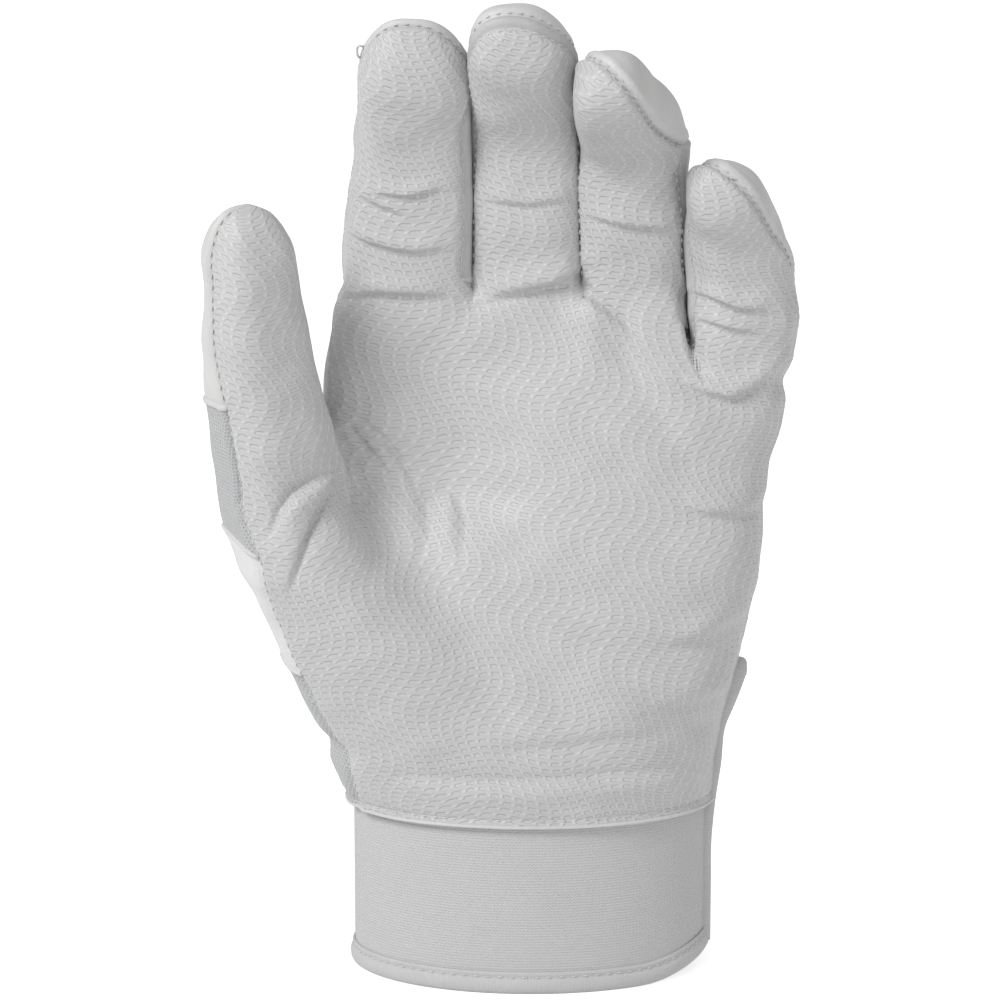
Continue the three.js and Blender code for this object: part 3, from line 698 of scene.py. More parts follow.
def fold_distance(p, normals):
    """How far points appear from the nearest fold, in millimetres, with its side as the sign."""
    places = picture_place(p)
    nearest = np.full(len(places), AWAY)
    for line, *_ in FOLDS.values():
        off, _ = beside_line(places, line)
        off = off * PIXEL
        nearest = np.where(np.abs(off) < np.abs(nearest), off, nearest)
    return np.where(facing_camera(normals) > FOLD_FACING, nearest, AWAY)


def flow_map(p, normals, up, triangles, rounds):
    """Flat places of the surface in millimetres, with the second one running up the leather."""
    used, index = np.unique(triangles, return_inverse=True)
    edges = unique_edges(index.reshape(-1, 3))
    p, normals, up = p[used], normals[used], up[used]
    sideways = np.cross(up, normals)
    sideways /= np.maximum(np.linalg.norm(sideways, axis=1), 1e-3)[:, None]
    upwards = np.cross(normals, sideways)
    i, j = edges.T
    step = p[j] - p[i]
    wanted = np.stack([(step * (way[i] + way[j])).sum(1) / 2 for way in (sideways, upwards)], axis=1)
    count = len(used)

    def gathered(values):
        return summed(j, values, count) - summed(i, values, count)

    places = p[:, [0, 2]].copy()
    rest = gathered(wanted) - gathered(places[j] - places[i])
    way = rest.copy()
    size = (rest**2).sum(0)
    for _ in range(rounds):
        pushed = gathered(way[j] - way[i])
        share = size / np.maximum((way * pushed).sum(0), 1e-12)
        places += share * way
        rest -= share * pushed
        new_size = (rest**2).sum(0)
        way = rest + new_size / np.maximum(size, 1e-12) * way
        size = new_size
    return used, places


def to_frame(p):
    return (np.asarray(p, float) + SHIFT) / 1000


def new_object(name, points, triangles, normals=None, flow=None):
    """A mesh of triangles, placed in the frame's metres."""
    mesh = bpy.data.meshes.new(name)
    count = len(triangles)
    mesh.vertices.add(len(points))
    mesh.vertices.foreach_set("co", to_frame(points).ravel())
    mesh.loops.add(3 * count)
    mesh.loops.foreach_set("vertex_index", triangles.ravel().astype(np.int32))
    mesh.polygons.add(count)
    mesh.polygons.foreach_set("loop_start", np.arange(0, 3 * count, 3, dtype=np.int32))
    mesh.update(calc_edges=True)
    mesh.polygons.foreach_set("use_smooth", np.ones(count, bool))
    if flow is not None:
        layer = mesh.uv_layers.new(name="flow")
        layer.data.foreach_set("uv", flow[triangles.ravel()].ravel())
    mesh.validate()
    if normals is not None:
        mesh.normals_split_custom_set(normals)
    made = bpy.data.objects.new(name, mesh)
    bpy.context.scene.collection.objects.link(made)
    return made


def shell(name, points, normals, triangles, thickness, flow):
    """A closed skin: the surface, the same surface inside it, and the edge between them."""
    used, index = np.unique(triangles, return_inverse=True)
    outer = index.reshape(-1, 3)
    count = len(used)
    p, n = points[used], normals[used]
    pairs = np.concatenate([outer[:, [0, 1]], outer[:, [1, 2]], outer[:, [2, 0]]])
    keys = pairs[:, 0] * count + pairs[:, 1]
    open_edge = ~np.isin(keys, pairs[:, 1] * count + pairs[:, 0])
    a, b = pairs[open_edge].T
    rim = np.concatenate([np.stack([b, a, a + count], axis=1), np.stack([b, a + count, b + count], axis=1)])
    both = np.concatenate([p, p - thickness * n])
    inner = outer[:, ::-1] + count
    faces = np.concatenate([outer, inner, rim])
    flat = np.cross(both[rim[:, 1]] - both[rim[:, 0]], both[rim[:, 2]] - both[rim[:, 0]])
    flat /= np.maximum(np.linalg.norm(flat, axis=1), 1e-9)[:, None]
    loop_normals = np.concatenate([
        n[outer.ravel()],
        -n[(inner - count).ravel()],
        np.repeat(flat, 3, axis=0),
    ])
    return new_object(name, both, faces, loop_normals, np.concatenate([flow[used], flow[used]]))


# Soft forms and folds of the leather, at places of the picture. A pad is a place, its reach across and
# down, and its height. A fold is a line, its depth, its width and the height of the ridge on its
# right-hand side as it is drawn, or on its left-hand side where that is below zero.
PADS = {
    "hollow of the palm": ((445, 468), (85, 92), -7.0),
    "index root": ((345, 350), (24, 80), 1.0),
    "heel outside": ((640, 700), (70, 60), 0.8),
    "heel thumb side": ((420, 640), (70, 90), 0.8),
    "below the fingers": ((560, 420), (150, 50), 0.5),
    "hollow left": ((406, 516), (9, 42), 0.5),
    "hollow right": ((448, 520), (9, 40), 0.45),
    "little-finger edge": ((730, 560), (40, 40), 1.2),
    "middle root right": ((556, 318), (16, 24), -0.7),
    "ring root left": ((592, 330), (13, 34), 0.9),
    "ring root right": ((628, 330), (16, 34), -0.9),
    "edge high": ((690, 575), (42, 30), 0.9),
    "edge middle": ((680, 648), (60, 14), -0.9),
    "edge low": ((650, 684), (60, 12), 0.6),
    "edge above the hem": ((665, 722), (60, 13), -0.8),
}
FOLDS = {
    "index upper": ([(374, 196), (408, 199), (442, 191)], 0.3, 1.4, -0.6),
    "index slant": ([(358, 198), (379, 209), (404, 218)], 0.3, 1.4, -0.3),
    "index lower": ([(343, 232), (367, 245), (391, 252), (415, 255), (446, 251)], 0.36, 1.6, -0.6),
    "index root": ([(336, 302), (372, 296), (398, 297), (448, 299)], 0.4, 1.9, -0.8),
    "middle upper": ([(488, 204), (528, 209), (572, 201)], 0.3, 1.8, -0.4),
    "middle root": ([(488, 303), (530, 293), (561, 286), (584, 271)], 0.6, 2.4, -0.95),
    "ring upper": ([(590, 219), (615, 226), (640, 230), (676, 233)], 0.36, 1.5, -0.6),
    "ring slant": ([(578, 274), (590, 294), (612, 312), (638, 333)], 0.6, 2.4, 0.5),
    "palm long": ([(586, 300), (618, 345), (650, 400), (680, 450), (712, 490)], 0.2, 5.0, -0.25),
    "little upper": ([(692, 294), (715, 302), (737, 311), (768, 313)], 0.5, 1.5, -0.7),
    "little lower": ([(698, 322), (725, 330), (756, 336)], 0.45, 1.4, -0.5),
    "little root": ([(678, 384), (704, 396), (730, 401), (752, 392), (782, 370)], 0.5, 2.0, -0.95),
    "edge high": ([(680, 510), (706, 517), (735, 517), (764, 508)], 0.3, 2.4, -0.85),
    "edge middle": ([(664, 652), (700, 644), (732, 628), (756, 612)], 0.3, 3.2, -0.6),
    "edge low": ([(650, 714), (690, 706), (716, 697), (742, 684)], 0.25, 3.0, -0.55),
    "wrist fold": ([(460, 754), (560, 749), (640, 738), (716, 724)], 0.3, 4.0, -0.3),
    "hem fold": ([(390, 776), (480, 783), (560, 781), (640, 774), (706, 764)], 0.4, 2.8, 0.6),
    "thumb upper": ([(342, 470), (316, 480), (295, 494), (280, 513), (270, 540)], 0.8, 2.2, -0.8),
    "thumb lower": ([(347, 472), (336, 490), (321, 513), (308, 540), (300, 562), (291, 592)], 0.85, 2.1, 0.2),
    "web first": ([(344, 422), (356, 438), (366, 452), (382, 473)], 0.35, 1.5, 0.25),
    "web second": ([(355, 420), (380, 441), (395, 462), (411, 488)], 0.4, 1.7, 0.3),
    "hollow left": ([(398, 466), (418, 500), (425, 530), (420, 562)], 0.25, 3.0, 0.1),
    "hollow right": ([(430, 466), (454, 500), (462, 525), (460, 556)], 0.25, 3.0, 0.1),
}
# Forms of the little-finger edge: height, reach up and down, and how far they stand out
EDGE_FORMS = [(157.0, 5.0, 1.2), (141.5, 3.4, -2.2), (134.5, 5.0, -0.8), (98.0, 9.0, 0.9), (112.5, 2.5, -0.5)]
# Dip of the thumb-side edge above the cuff, in the same terms
GUSSET_DIP = (55.5, 3.6, -2.0)
GUSSET_DIP_FROM = -38.0
GUSSET_DIP_TO = -45.0
EDGE_FROM = 48.0
EDGE_TO = 56.0
FOLD_SCALE = 2.0
FOLD_WIDTH = 0.8
FOLD_CUTS = (-1.1, -0.5, 0.5, 1.1)
FOLD_STEEPEST = 1.05
FOLD_FACING = 0.6
WAVES = 40
WAVE_HEIGHT = 0.04
# A seam's crease and the rolls beside it: depth and half width, height, place and half width
SEAM_CREASE = (0.5, 0.6)
SEAM_ROLL = (0.28, 1.7, 0.9)
KNIT_CREASE = (0.5, 0.7)
KNIT_ROLL = (0.28, 1.9, 0.9)
BACK_LINE_CREASE = (BACK_LINE_DEPTH, 0.8)
BACK_LINE_ROLL = (0.5 * BACK_LINE_DEPTH, 2.2, 1.2)
BACK_LINE_END = 0.06
BACK_FACING = (0.2, 0.6)
SEAM_SIDE = 0.6
HEM_STITCH = 1.5
HEM_ROLL = (0.35, 0.5, 0.7)
HEM_CREASE = (0.35, 0.6)
THUMB_ROOT_X = -50.0
KNIT_APART = (0.5, 2.0)
KNIT_EDGE = (-1.0, 0.5)
THUMB_ROOT_LOW = -14.0
# How the shares of a fold fall off, in half widths of it
FOLD_REACH = 4.0
FOLD_CORE = 0.6
FOLD_SHOULDER = (0.3, 1.0, 1.2)
FOLD_RIDGE = (-0.6, 1.2, 1.6)
FOLD_TAPER = 0.6
FOLD_ENDS = (0.02, 0.98)
OUTWARD = (0.2, 0.7)
WAVE_LENGTHS = (8.0, 34.0)
FLOW_ROUNDS = (120, 160)


def hump(value, half_width):
    return np.exp(-((value / half_width) ** 2))


def creased(off, crease, roll):
    """A crease along a line with a roll at each side of it, by how far points lie off the line."""
    return roll[0] * hump(off - roll[1], roll[2]) - crease[0] * hump(off, crease[1])


def relief(p, normals, facts):
    """How far the surface stands out or in at its seams, pads and folds."""
    rise = np.zeros(len(p))
    apart = np.abs(facts[:, COLUMN["front"]] - facts[:, COLUMN["back"]])
    in_knit = smoothstep(*KNIT_APART, apart) * smoothstep(*KNIT_EDGE, facts[:, COLUMN["knit_low"]])
    in_knit = in_knit * (p[:, 0] < THUMB_ROOT_X)
    for column, share in (("front", 1.0), ("back", 1 - in_knit)):
        off = np.abs(facts[:, COLUMN[column]])
        rise += share * creased(off, SEAM_CREASE, SEAM_ROLL)
    off = np.abs(facts[:, COLUMN["back_knit"]])
    rise += creased(off, KNIT_CREASE, KNIT_ROLL)
    behind = smoothstep(*BACK_FACING, normals[:, 1])
    for line in BACK_LINES:
        off, share = beside_line(p[:, [0, 2]], line)
        fade = behind * smoothstep(0, BACK_LINE_END, share) * smoothstep(1, 1 - BACK_LINE_END, share)
        rise += fade * creased(np.abs(off), BACK_LINE_CREASE, BACK_LINE_ROLL)
    hem = p[:, 2] - HEM_HEIGHT
    rise += HEM_ROLL[0] * hump(hem - HEM_ROLL[1], HEM_ROLL[2])
    rise -= HEM_CREASE[0] * hump(hem - HEM_STITCH, HEM_CREASE[1])
    places = picture_place(p)
    facing = facing_camera(normals)
    for middle, reach, height in PADS.values():
        away = ((places - middle) / reach) ** 2
        rise += height * facing * np.exp(-away.sum(1))
    for line, depth, width, ridge in FOLDS.values():
        off, share = beside_line(places, line)
        off = off * PIXEL
        width = FOLD_WIDTH * width
        fade = facing * np.sin(math.pi * np.clip(share, *FOLD_ENDS)) ** FOLD_TAPER
        beyond = smoothstep(1.0, 0.0, (np.abs(off) - FOLD_REACH * width) / width)
        side = np.sign(ridge) * off / width
        foot, top, fall = FOLD_RIDGE
        bulge = smoothstep(foot, top, side) * hump(np.maximum(side - top, 0), fall)
        weak, off_side, half = FOLD_SHOULDER
        groove = hump(side, FOLD_CORE) + weak * hump(side + off_side, half)
        shape = FOLD_SCALE * (abs(ridge) * bulge - depth * groove)
        rise += shape * fade * beyond
    outward = smoothstep(EDGE_FROM, EDGE_TO, p[:, 0]) * smoothstep(*OUTWARD, normals[:, 0])
    for height, reach, out in EDGE_FORMS:
        rise += out * outward * hump(p[:, 2] - height, reach)
    height, reach, out = GUSSET_DIP
    outward = smoothstep(GUSSET_DIP_FROM, GUSSET_DIP_TO, p[:, 0]) * smoothstep(*OUTWARD, -normals[:, 0])
    rise += out * outward * hump(p[:, 2] - height, reach)
    chance = np.random.default_rng(7)
    for _ in range(WAVES):
        way = chance.normal(size=3)
        way *= 2 * math.pi / chance.uniform(*WAVE_LENGTHS) / np.linalg.norm(way)
        rise += WAVE_HEIGHT * np.sin(p @ way + chance.uniform(0, 2 * math.pi)) * smoothstep(0, 8, hem)
    return rise


# The glove's skin: its surface, cut along its seams
skin, quads = surface_nets(grid_values())
triangles = np.concatenate([quads[:, [0, 1, 2]], quads[:, [0, 2, 3]]])
skin = onto_surface(skin, 1)
skin = relaxed(skin, unique_edges(triangles), RELAX_SHARE)
skin = onto_surface(skin, 2)
facts, _ = point_facts(skin)
wide = widened(skin)
facts[:, COLUMN["fold"]] = fold_distance(wide, vertex_normals(wide, triangles))
cuts = [("hem", 0.0), ("slit", 0.0)]
cuts += [(name, level) for name in ("front", "back") for level in (-SEAM_SIDE, 0.0, SEAM_SIDE)]
cuts += [("fold", level) for level in FOLD_CUTS]
cuts += [("hem", HEM_STITCH)] + [(name, 0.0) for name in FACT_NAMES[COLUMN["gusset"]:]]
for name, level in cuts:
    steepest = FOLD_STEEPEST if name == "fold" else None
    skin, facts, triangles = cut(skin, facts, triangles, COLUMN[name], level, steepest)
_, up = point_facts(skin)
middle = facts[triangles].mean(axis=1)
kept = (middle[:, COLUMN["hem"]] > 0) & (middle[:, COLUMN["slit"]] > 0)
triangles, middle = triangles[kept], middle[kept]
skin = widened(skin)
normals = vertex_normals(skin, triangles)
skin = skin + relief(skin, normals, facts)[:, None] * normals
normals = vertex_normals(skin, triangles)

# Which piece each face belongs to
FRONT, STRIP, BACK = 0, 1, 2
zone = np.where(middle[:, COLUMN["back"]] > 0, BACK, STRIP)
zone[middle[:, COLUMN["front"]] < 0] = FRONT
centres = skin[triangles].mean(axis=1)
piece = np.array(["palm", "webs", "back"], dtype=object)[zone]
thumb_side = (zone == STRIP) & (centres[:, 0] < THUMB_SIDE_X) & (centres[:, 2] < THUMB_SIDE_TOP)
piece[thumb_side] = "thumb_side"
piece[thumb_side & (middle[:, COLUMN["knit_low"]] > 0)] = "thumb_root_knit"
piece[thumb_side & (middle[:, COLUMN["gusset"]] < 0)] = "wrist_gusset"
_, _, up_thumb, _ = digits["thumb"].local(centres)
near_thumb = (zone != FRONT) & (centres[:, 0] < THUMB_ROOT_X) & (up_thumb > THUMB_ROOT_LOW)
piece[near_thumb & (middle[:, COLUMN["knit_low"]] > 0)] = "thumb_root_knit"
piece[(piece == "back") & (middle[:, COLUMN["back_knit"]] > 0)] = "back_knit"
zone_names = np.array(["front", "sides", "back"], dtype=object)[zone]
for name in DIGITS:
    lower = middle[:, COLUMN[name + "_root"]] > 0
    upper = middle[:, COLUMN[name + "_split"]] > 0
    piece[lower] = name + "_base_" + zone_names[lower]
    piece[upper] = name + "_tip_" + zone_names[upper]
knit = np.isin(piece, ["thumb_tip_back", "thumb_tip_sides"])
piece[knit] = np.where(middle[knit, COLUMN["knit_top"]] < 0, "thumb_tip_knit", "thumb_tip_back")
piece[piece == "thumb_base_sides"] = "thumb_base_back"

# Flat places of the leather, for its pattern
flow = np.zeros((len(skin), 2))
front_faces = zone == FRONT
used, places = flow_map(skin, normals, up, triangles[~front_faces], FLOW_ROUNDS[0])
flow[used] = places
front_flow = flow.copy()
used, places = flow_map(skin, normals, up, triangles[front_faces], FLOW_ROUNDS[1])
front_flow[used] = places


def sweep(name, path, out, profile):
    """A closed body with the same outline all along a path. The outline is given as out and up places."""
    path, out = np.asarray(path, float), np.asarray(out, float)
    way = np.gradient(path, axis=0)
    way /= np.linalg.norm(way, axis=1)[:, None]
    across = np.cross(out, way)
    across /= np.linalg.norm(across, axis=1)[:, None]
    out = np.cross(way, across)
    profile = np.asarray(profile, float)
    if profile.ndim == 2:
        profile = np.tile(profile, (len(path), 1, 1))
    rings = path[:, None] + profile[:, :, :1] * out[:, None] + profile[:, :, 1:] * across[:, None]
    count, sides = rings.shape[:2]
    points = rings.reshape(-1, 3)
    i = np.arange(count - 1)[:, None] * sides
    j = i + sides
    k = np.arange(sides)[None]
    m = (k + 1) % sides
    a, b, c, d = (i + k).ravel(), (i + m).ravel(), (j + m).ravel(), (j + k).ravel()
    faces = [np.stack([a, b, c], axis=1), np.stack([a, c, d], axis=1)]
    points = np.concatenate([points, rings[0].mean(axis=0)[None], rings[-1].mean(axis=0)[None]])
    first, last = count * sides, count * sides + 1
    k, m = k.ravel(), m.ravel()
    faces.append(np.stack([np.full(sides, first), m, k], axis=1))
    end = (count - 1) * sides
    faces.append(np.stack([np.full(sides, last), end + k, end + m], axis=1))
    faces = np.concatenate(faces)
    p = points[faces]
    volume = np.einsum("ij,ij->i", p[:, 0], np.cross(p[:, 1], p[:, 2])).sum()
    if volume < 0:
        faces = faces[:, ::-1]
    length = np.concatenate([[0], np.cumsum(np.linalg.norm(np.diff(path, axis=0), axis=1))])
    edge = np.linalg.norm(np.diff(profile[0], axis=0, append=profile[0][:1]), axis=1)
    round_about = np.concatenate([[0], np.cumsum(edge)[:-1]])
    flow = np.stack([np.repeat(length, sides), np.tile(round_about, count)], axis=1)
    flow = np.concatenate([flow, flow[:1], flow[-1:]])
    return new_object(name, points, faces, None, flow)


def rounded(half_out, half_up, sides=16, power=2.6, out=0.0, up=0.0):
    """Places of a rounded outline."""
    turn = np.linspace(math.pi, 3 * math.pi, sides, endpoint=False)
    c, s = np.cos(turn), np.sin(turn)
    size = (np.abs(c) ** power + np.abs(s) ** power) ** (-1 / power)
    return np.stack([out + half_out * size * c, up + half_up * size * s], axis=1)


def cuff_place(turn, out, z):
    """A point of the cuff's oval: degrees round from the slit, outwards from its face, and height."""
    a = np.radians(turn)
    z = np.broadcast_to(np.asarray(z, float), np.shape(a))
    return np.stack([(CUFF_HALF_WIDTH + out) * np.cos(a), (CUFF_HALF_DEPTH + out) * np.sin(a), z], axis=-1)


def cuff_out(turn):
    a = np.radians(turn)
    way = np.stack([np.cos(a) / CUFF_HALF_WIDTH, np.sin(a) / CUFF_HALF_DEPTH, 0 * a], axis=-1)
    return way / np.linalg.norm(way, axis=-1)[..., None]


CUFF_DEGREE = math.radians(1) * CUFF_HALF_WIDTH * 0.85
PLATE_EDGE = 0.4


def plate(name, turns, heights, out, thickness, corner, edge=1.2, swell=None, rows=26, columns=90):
    """A curved plate on the cuff with round corners and softened edges."""
    v = (1 - np.cos(np.linspace(0, math.pi, rows))) / 2
    u = (1 - np.cos(np.linspace(0, math.pi, columns))) / 2
    z = heights[0] + (heights[1] - heights[0]) * v
    from_end = np.minimum(z - heights[0], heights[1] - z)
    inset = corner - np.sqrt(np.maximum(corner**2 - np.maximum(corner - from_end, 0) ** 2, 0))
    first = turns[0] + inset / CUFF_DEGREE
    last = turns[1] - inset / CUFF_DEGREE
    turn = first[:, None] + (last - first)[:, None] * u[None]
    z = np.broadcast_to(z[:, None], turn.shape)
    side = np.minimum(turn - first[:, None], last[:, None] - turn) * CUFF_DEGREE
    inward = np.minimum(side, from_end[:, None])
    full = np.sqrt(1 - (1 - np.clip(inward / edge, 0, 1)) ** 2)
    top = out + thickness * (PLATE_EDGE + (1 - PLATE_EDGE) * full)
    if swell is not None:
        top = top + swell(z) * smoothstep(0, edge, inward)
    outer = cuff_place(turn, top, z).reshape(-1, 3)
    inner = cuff_place(turn, np.full(turn.shape, float(out)), z).reshape(-1, 3)
    index = np.arange(rows * columns).reshape(rows, columns)
    corners = (index[:-1, :-1], index[:-1, 1:], index[1:, 1:], index[1:, :-1])
    a, b, c, d = (corner.ravel() for corner in corners)
    face = np.concatenate([np.stack([a, b, c], axis=1), np.stack([a, c, d], axis=1)])
    line = np.concatenate([index[0], index[1:, -1], index[-1, -2::-1], index[-2:0:-1, 0]])
    after = np.roll(line, -1)
    under = rows * columns
    wall = np.stack([line, line + under, after], axis=1)
    wall_too = np.stack([after, line + under, after + under], axis=1)
    faces = np.concatenate([face, face[:, ::-1] + under, wall, wall_too])
    flow = np.stack([turn.ravel() * CUFF_DEGREE, z.ravel()], axis=1)
    return new_object(name, np.concatenate([outer, inner]), faces, None, np.concatenate([flow, flow]))


SHORTEST_SEAM = 6
SEAM_ROUNDS = 6


def seam_path(column, level, faces, spacing):
    """Points and outward ways along the cut lines of some faces, evenly spaced."""
    on = np.abs(facts[:, COLUMN[column]] - level) < 1e-6
    pairs = unique_edges(faces)
    pairs = pairs[on[pairs].all(axis=1)]
    beside = {}
    for a, b in pairs.tolist():
        beside.setdefault(a, []).append(b)
        beside.setdefault(b, []).append(a)
    lines = []
    left = set(beside)
    while left:
        ends = [a for a in left if len(beside[a]) == 1]
        here = min(ends) if ends else min(left)
        line = [here]
        left.discard(here)
        while True:
            ahead = [b for b in beside[here] if b in left]
            if not ahead:
                break
            here = ahead[0]
            left.discard(here)
            line.append(here)
        lines.append(line)
    made = []
    for line in lines:
        p, n = skin[line], normals[line]
        length = np.concatenate([[0], np.cumsum(np.linalg.norm(np.diff(p, axis=0), axis=1))])
        if length[-1] < SHORTEST_SEAM * spacing:
            continue
        for _ in range(SEAM_ROUNDS):
            p[1:-1] = (p[:-2] + 2 * p[1:-1] + p[2:]) / 4
        at = np.linspace(0, length[-1], max(int(length[-1] / spacing), 2) + 1)
        p = np.stack([np.interp(at, length, p[:, k]) for k in range(3)], axis=1)
        n = np.stack([np.interp(at, length, n[:, k]) for k in range(3)], axis=1)
        n /= np.linalg.norm(n, axis=1)[:, None]
        made.append((p, n))
    return made


STITCH_RINGS = 6
STITCH_SIDES = 6
STITCH_END = 0.02
STITCH_RISE = (1.1, 1.5)


def stitches(name, lines, length=1.4, thick=0.18):
    """Sewing stitches beside lines, each a small bar with round ends that dips into the leather."""
    points, faces = [], []
    rings, sides = STITCH_RINGS, STITCH_SIDES
    for p, n in lines:
        way = np.gradient(p, axis=0)
        way /= np.linalg.norm(way, axis=1)[:, None]
        side = np.cross(n, way)
        for k in range(len(p)):
            t = np.linspace(-1, 1, rings)
            size = thick * np.sqrt(np.maximum(1 - t**4, STITCH_END))
            rise = thick * (STITCH_RISE[0] - STITCH_RISE[1] * t**2)
            middle_line = p[k] + 0.5 * length * t[:, None] * way[k] + rise[:, None] * n[k]
            turn = np.linspace(0, 2 * math.pi, sides, endpoint=False)
            ring = np.cos(turn)[:, None] * n[k] + np.sin(turn)[:, None] * side[k]
            start = rings * sides * len(points)
            points.append((middle_line[:, None] + size[:, None, None] * ring[None]).reshape(-1, 3))
            a = start + (np.arange(rings - 1)[:, None] * sides + np.arange(sides)[None]).ravel()
            b = start + (np.arange(rings - 1)[:, None] * sides + (np.arange(sides)[None] + 1) % sides).ravel()
            faces += [np.stack([a, b + sides, b], axis=1), np.stack([a, a + sides, b + sides], axis=1)]
            for end, order in ((0, 1), (rings - 1, -1)):
                loop = start + end * sides + np.arange(sides)[::order]
                faces.append(np.stack([np.full(sides - 2, loop[0]), loop[1:-1], loop[2:]], axis=1))
    return new_object(name, np.concatenate(points), np.concatenate(faces))


# Materials. Colours are lighter and darker levels of white, and roughness runs from smooth to rough.
COLOURS = {
    "embossed_leather": ((0.68, 0.68, 0.677), (0.495, 0.495, 0.495)),
    "smooth_leather": ((0.66, 0.66, 0.655), (0.57, 0.57, 0.567)),
    "side_leather": ((0.78, 0.78, 0.775), (0.69, 0.69, 0.687)),
    # The strips at the fingers' sides are painted a darker grey than the other leather: painted shade of the
    # narrow gaps between the fingers
    "strip_leather_painted_shade": ((0.54, 0.54, 0.54), (0.46, 0.46, 0.46)),
    "grey_knit": ((0.52, 0.525, 0.53), (0.41, 0.415, 0.42)),
    "cuff_jersey": ((0.605, 0.605, 0.605), (0.53, 0.53, 0.53)),
    "binding_tape": ((0.6, 0.6, 0.6), (0.5, 0.5, 0.5)),
    "strap_fabric": ((0.7, 0.7, 0.7), (0.58, 0.58, 0.58)),
    "hook_and_loop": ((0.6, 0.6, 0.6), (0.42, 0.42, 0.42)),
    "soft_tab": ((0.6, 0.6, 0.605), (0.5, 0.5, 0.505)),
    "thread": ((0.68, 0.68, 0.68), (0.58, 0.58, 0.58)),
}
ROUGHNESS = {
    "embossed_leather": (0.4, 0.6),
    "smooth_leather": (0.42, 0.58),
    "side_leather": (0.5, 0.65),
    "strip_leather_painted_shade": (0.55, 0.7),
    "grey_knit": (0.75, 0.95),
    "cuff_jersey": (0.75, 0.9),
    "binding_tape": (0.7, 0.9),
    "strap_fabric": (0.65, 0.85),
    "hook_and_loop": (0.85, 1.0),
    "soft_tab": (0.45, 0.6),
    "thread": (0.5, 0.7),
}
# Sizes of their patterns, in millimetres
EMBOSS_ACROSS = 2.85
EMBOSS_ROW = 1.68
EMBOSS_WAVE = 3.0
EMBOSS_WAVE_LENGTH = 27.0
EMBOSS_ROW_WAVE = 1.3
EMBOSS_ROW_LENGTH = 31.0
EMBOSS_SLANT = 0.35
EMBOSS_DRIFT = 9.0
DRIFT_PATCH = 60.0
PIT_HALF = (0.55, 0.12)
PIT_EDGE = (0.16, 0.4)
# Edges of the wall dots between pits, which are raised by a bump and painted lighter as a highlight
WALL_DOT_AND_HIGHLIGHT = ((0.42, 0.12), (0.48, 0.12))
PORE_SPACING = 1.9
PORE_EDGE = (0.06, 0.16)
KNIT_ACROSS = 1.15
KNIT_ROW = 0.85
KNIT_HOLE = (0.16, 0.42)
JERSEY_ROW = 0.62
JERSEY_ACROSS = 0.85
JERSEY_SWING = 0.09
TAPE_RIB = 0.75
STRAP_WEAVE = 1.1
HOOK_SPACING = 1.2
TUFT_EDGE = (0.1, 0.55)
TAB_RIB = 2.4


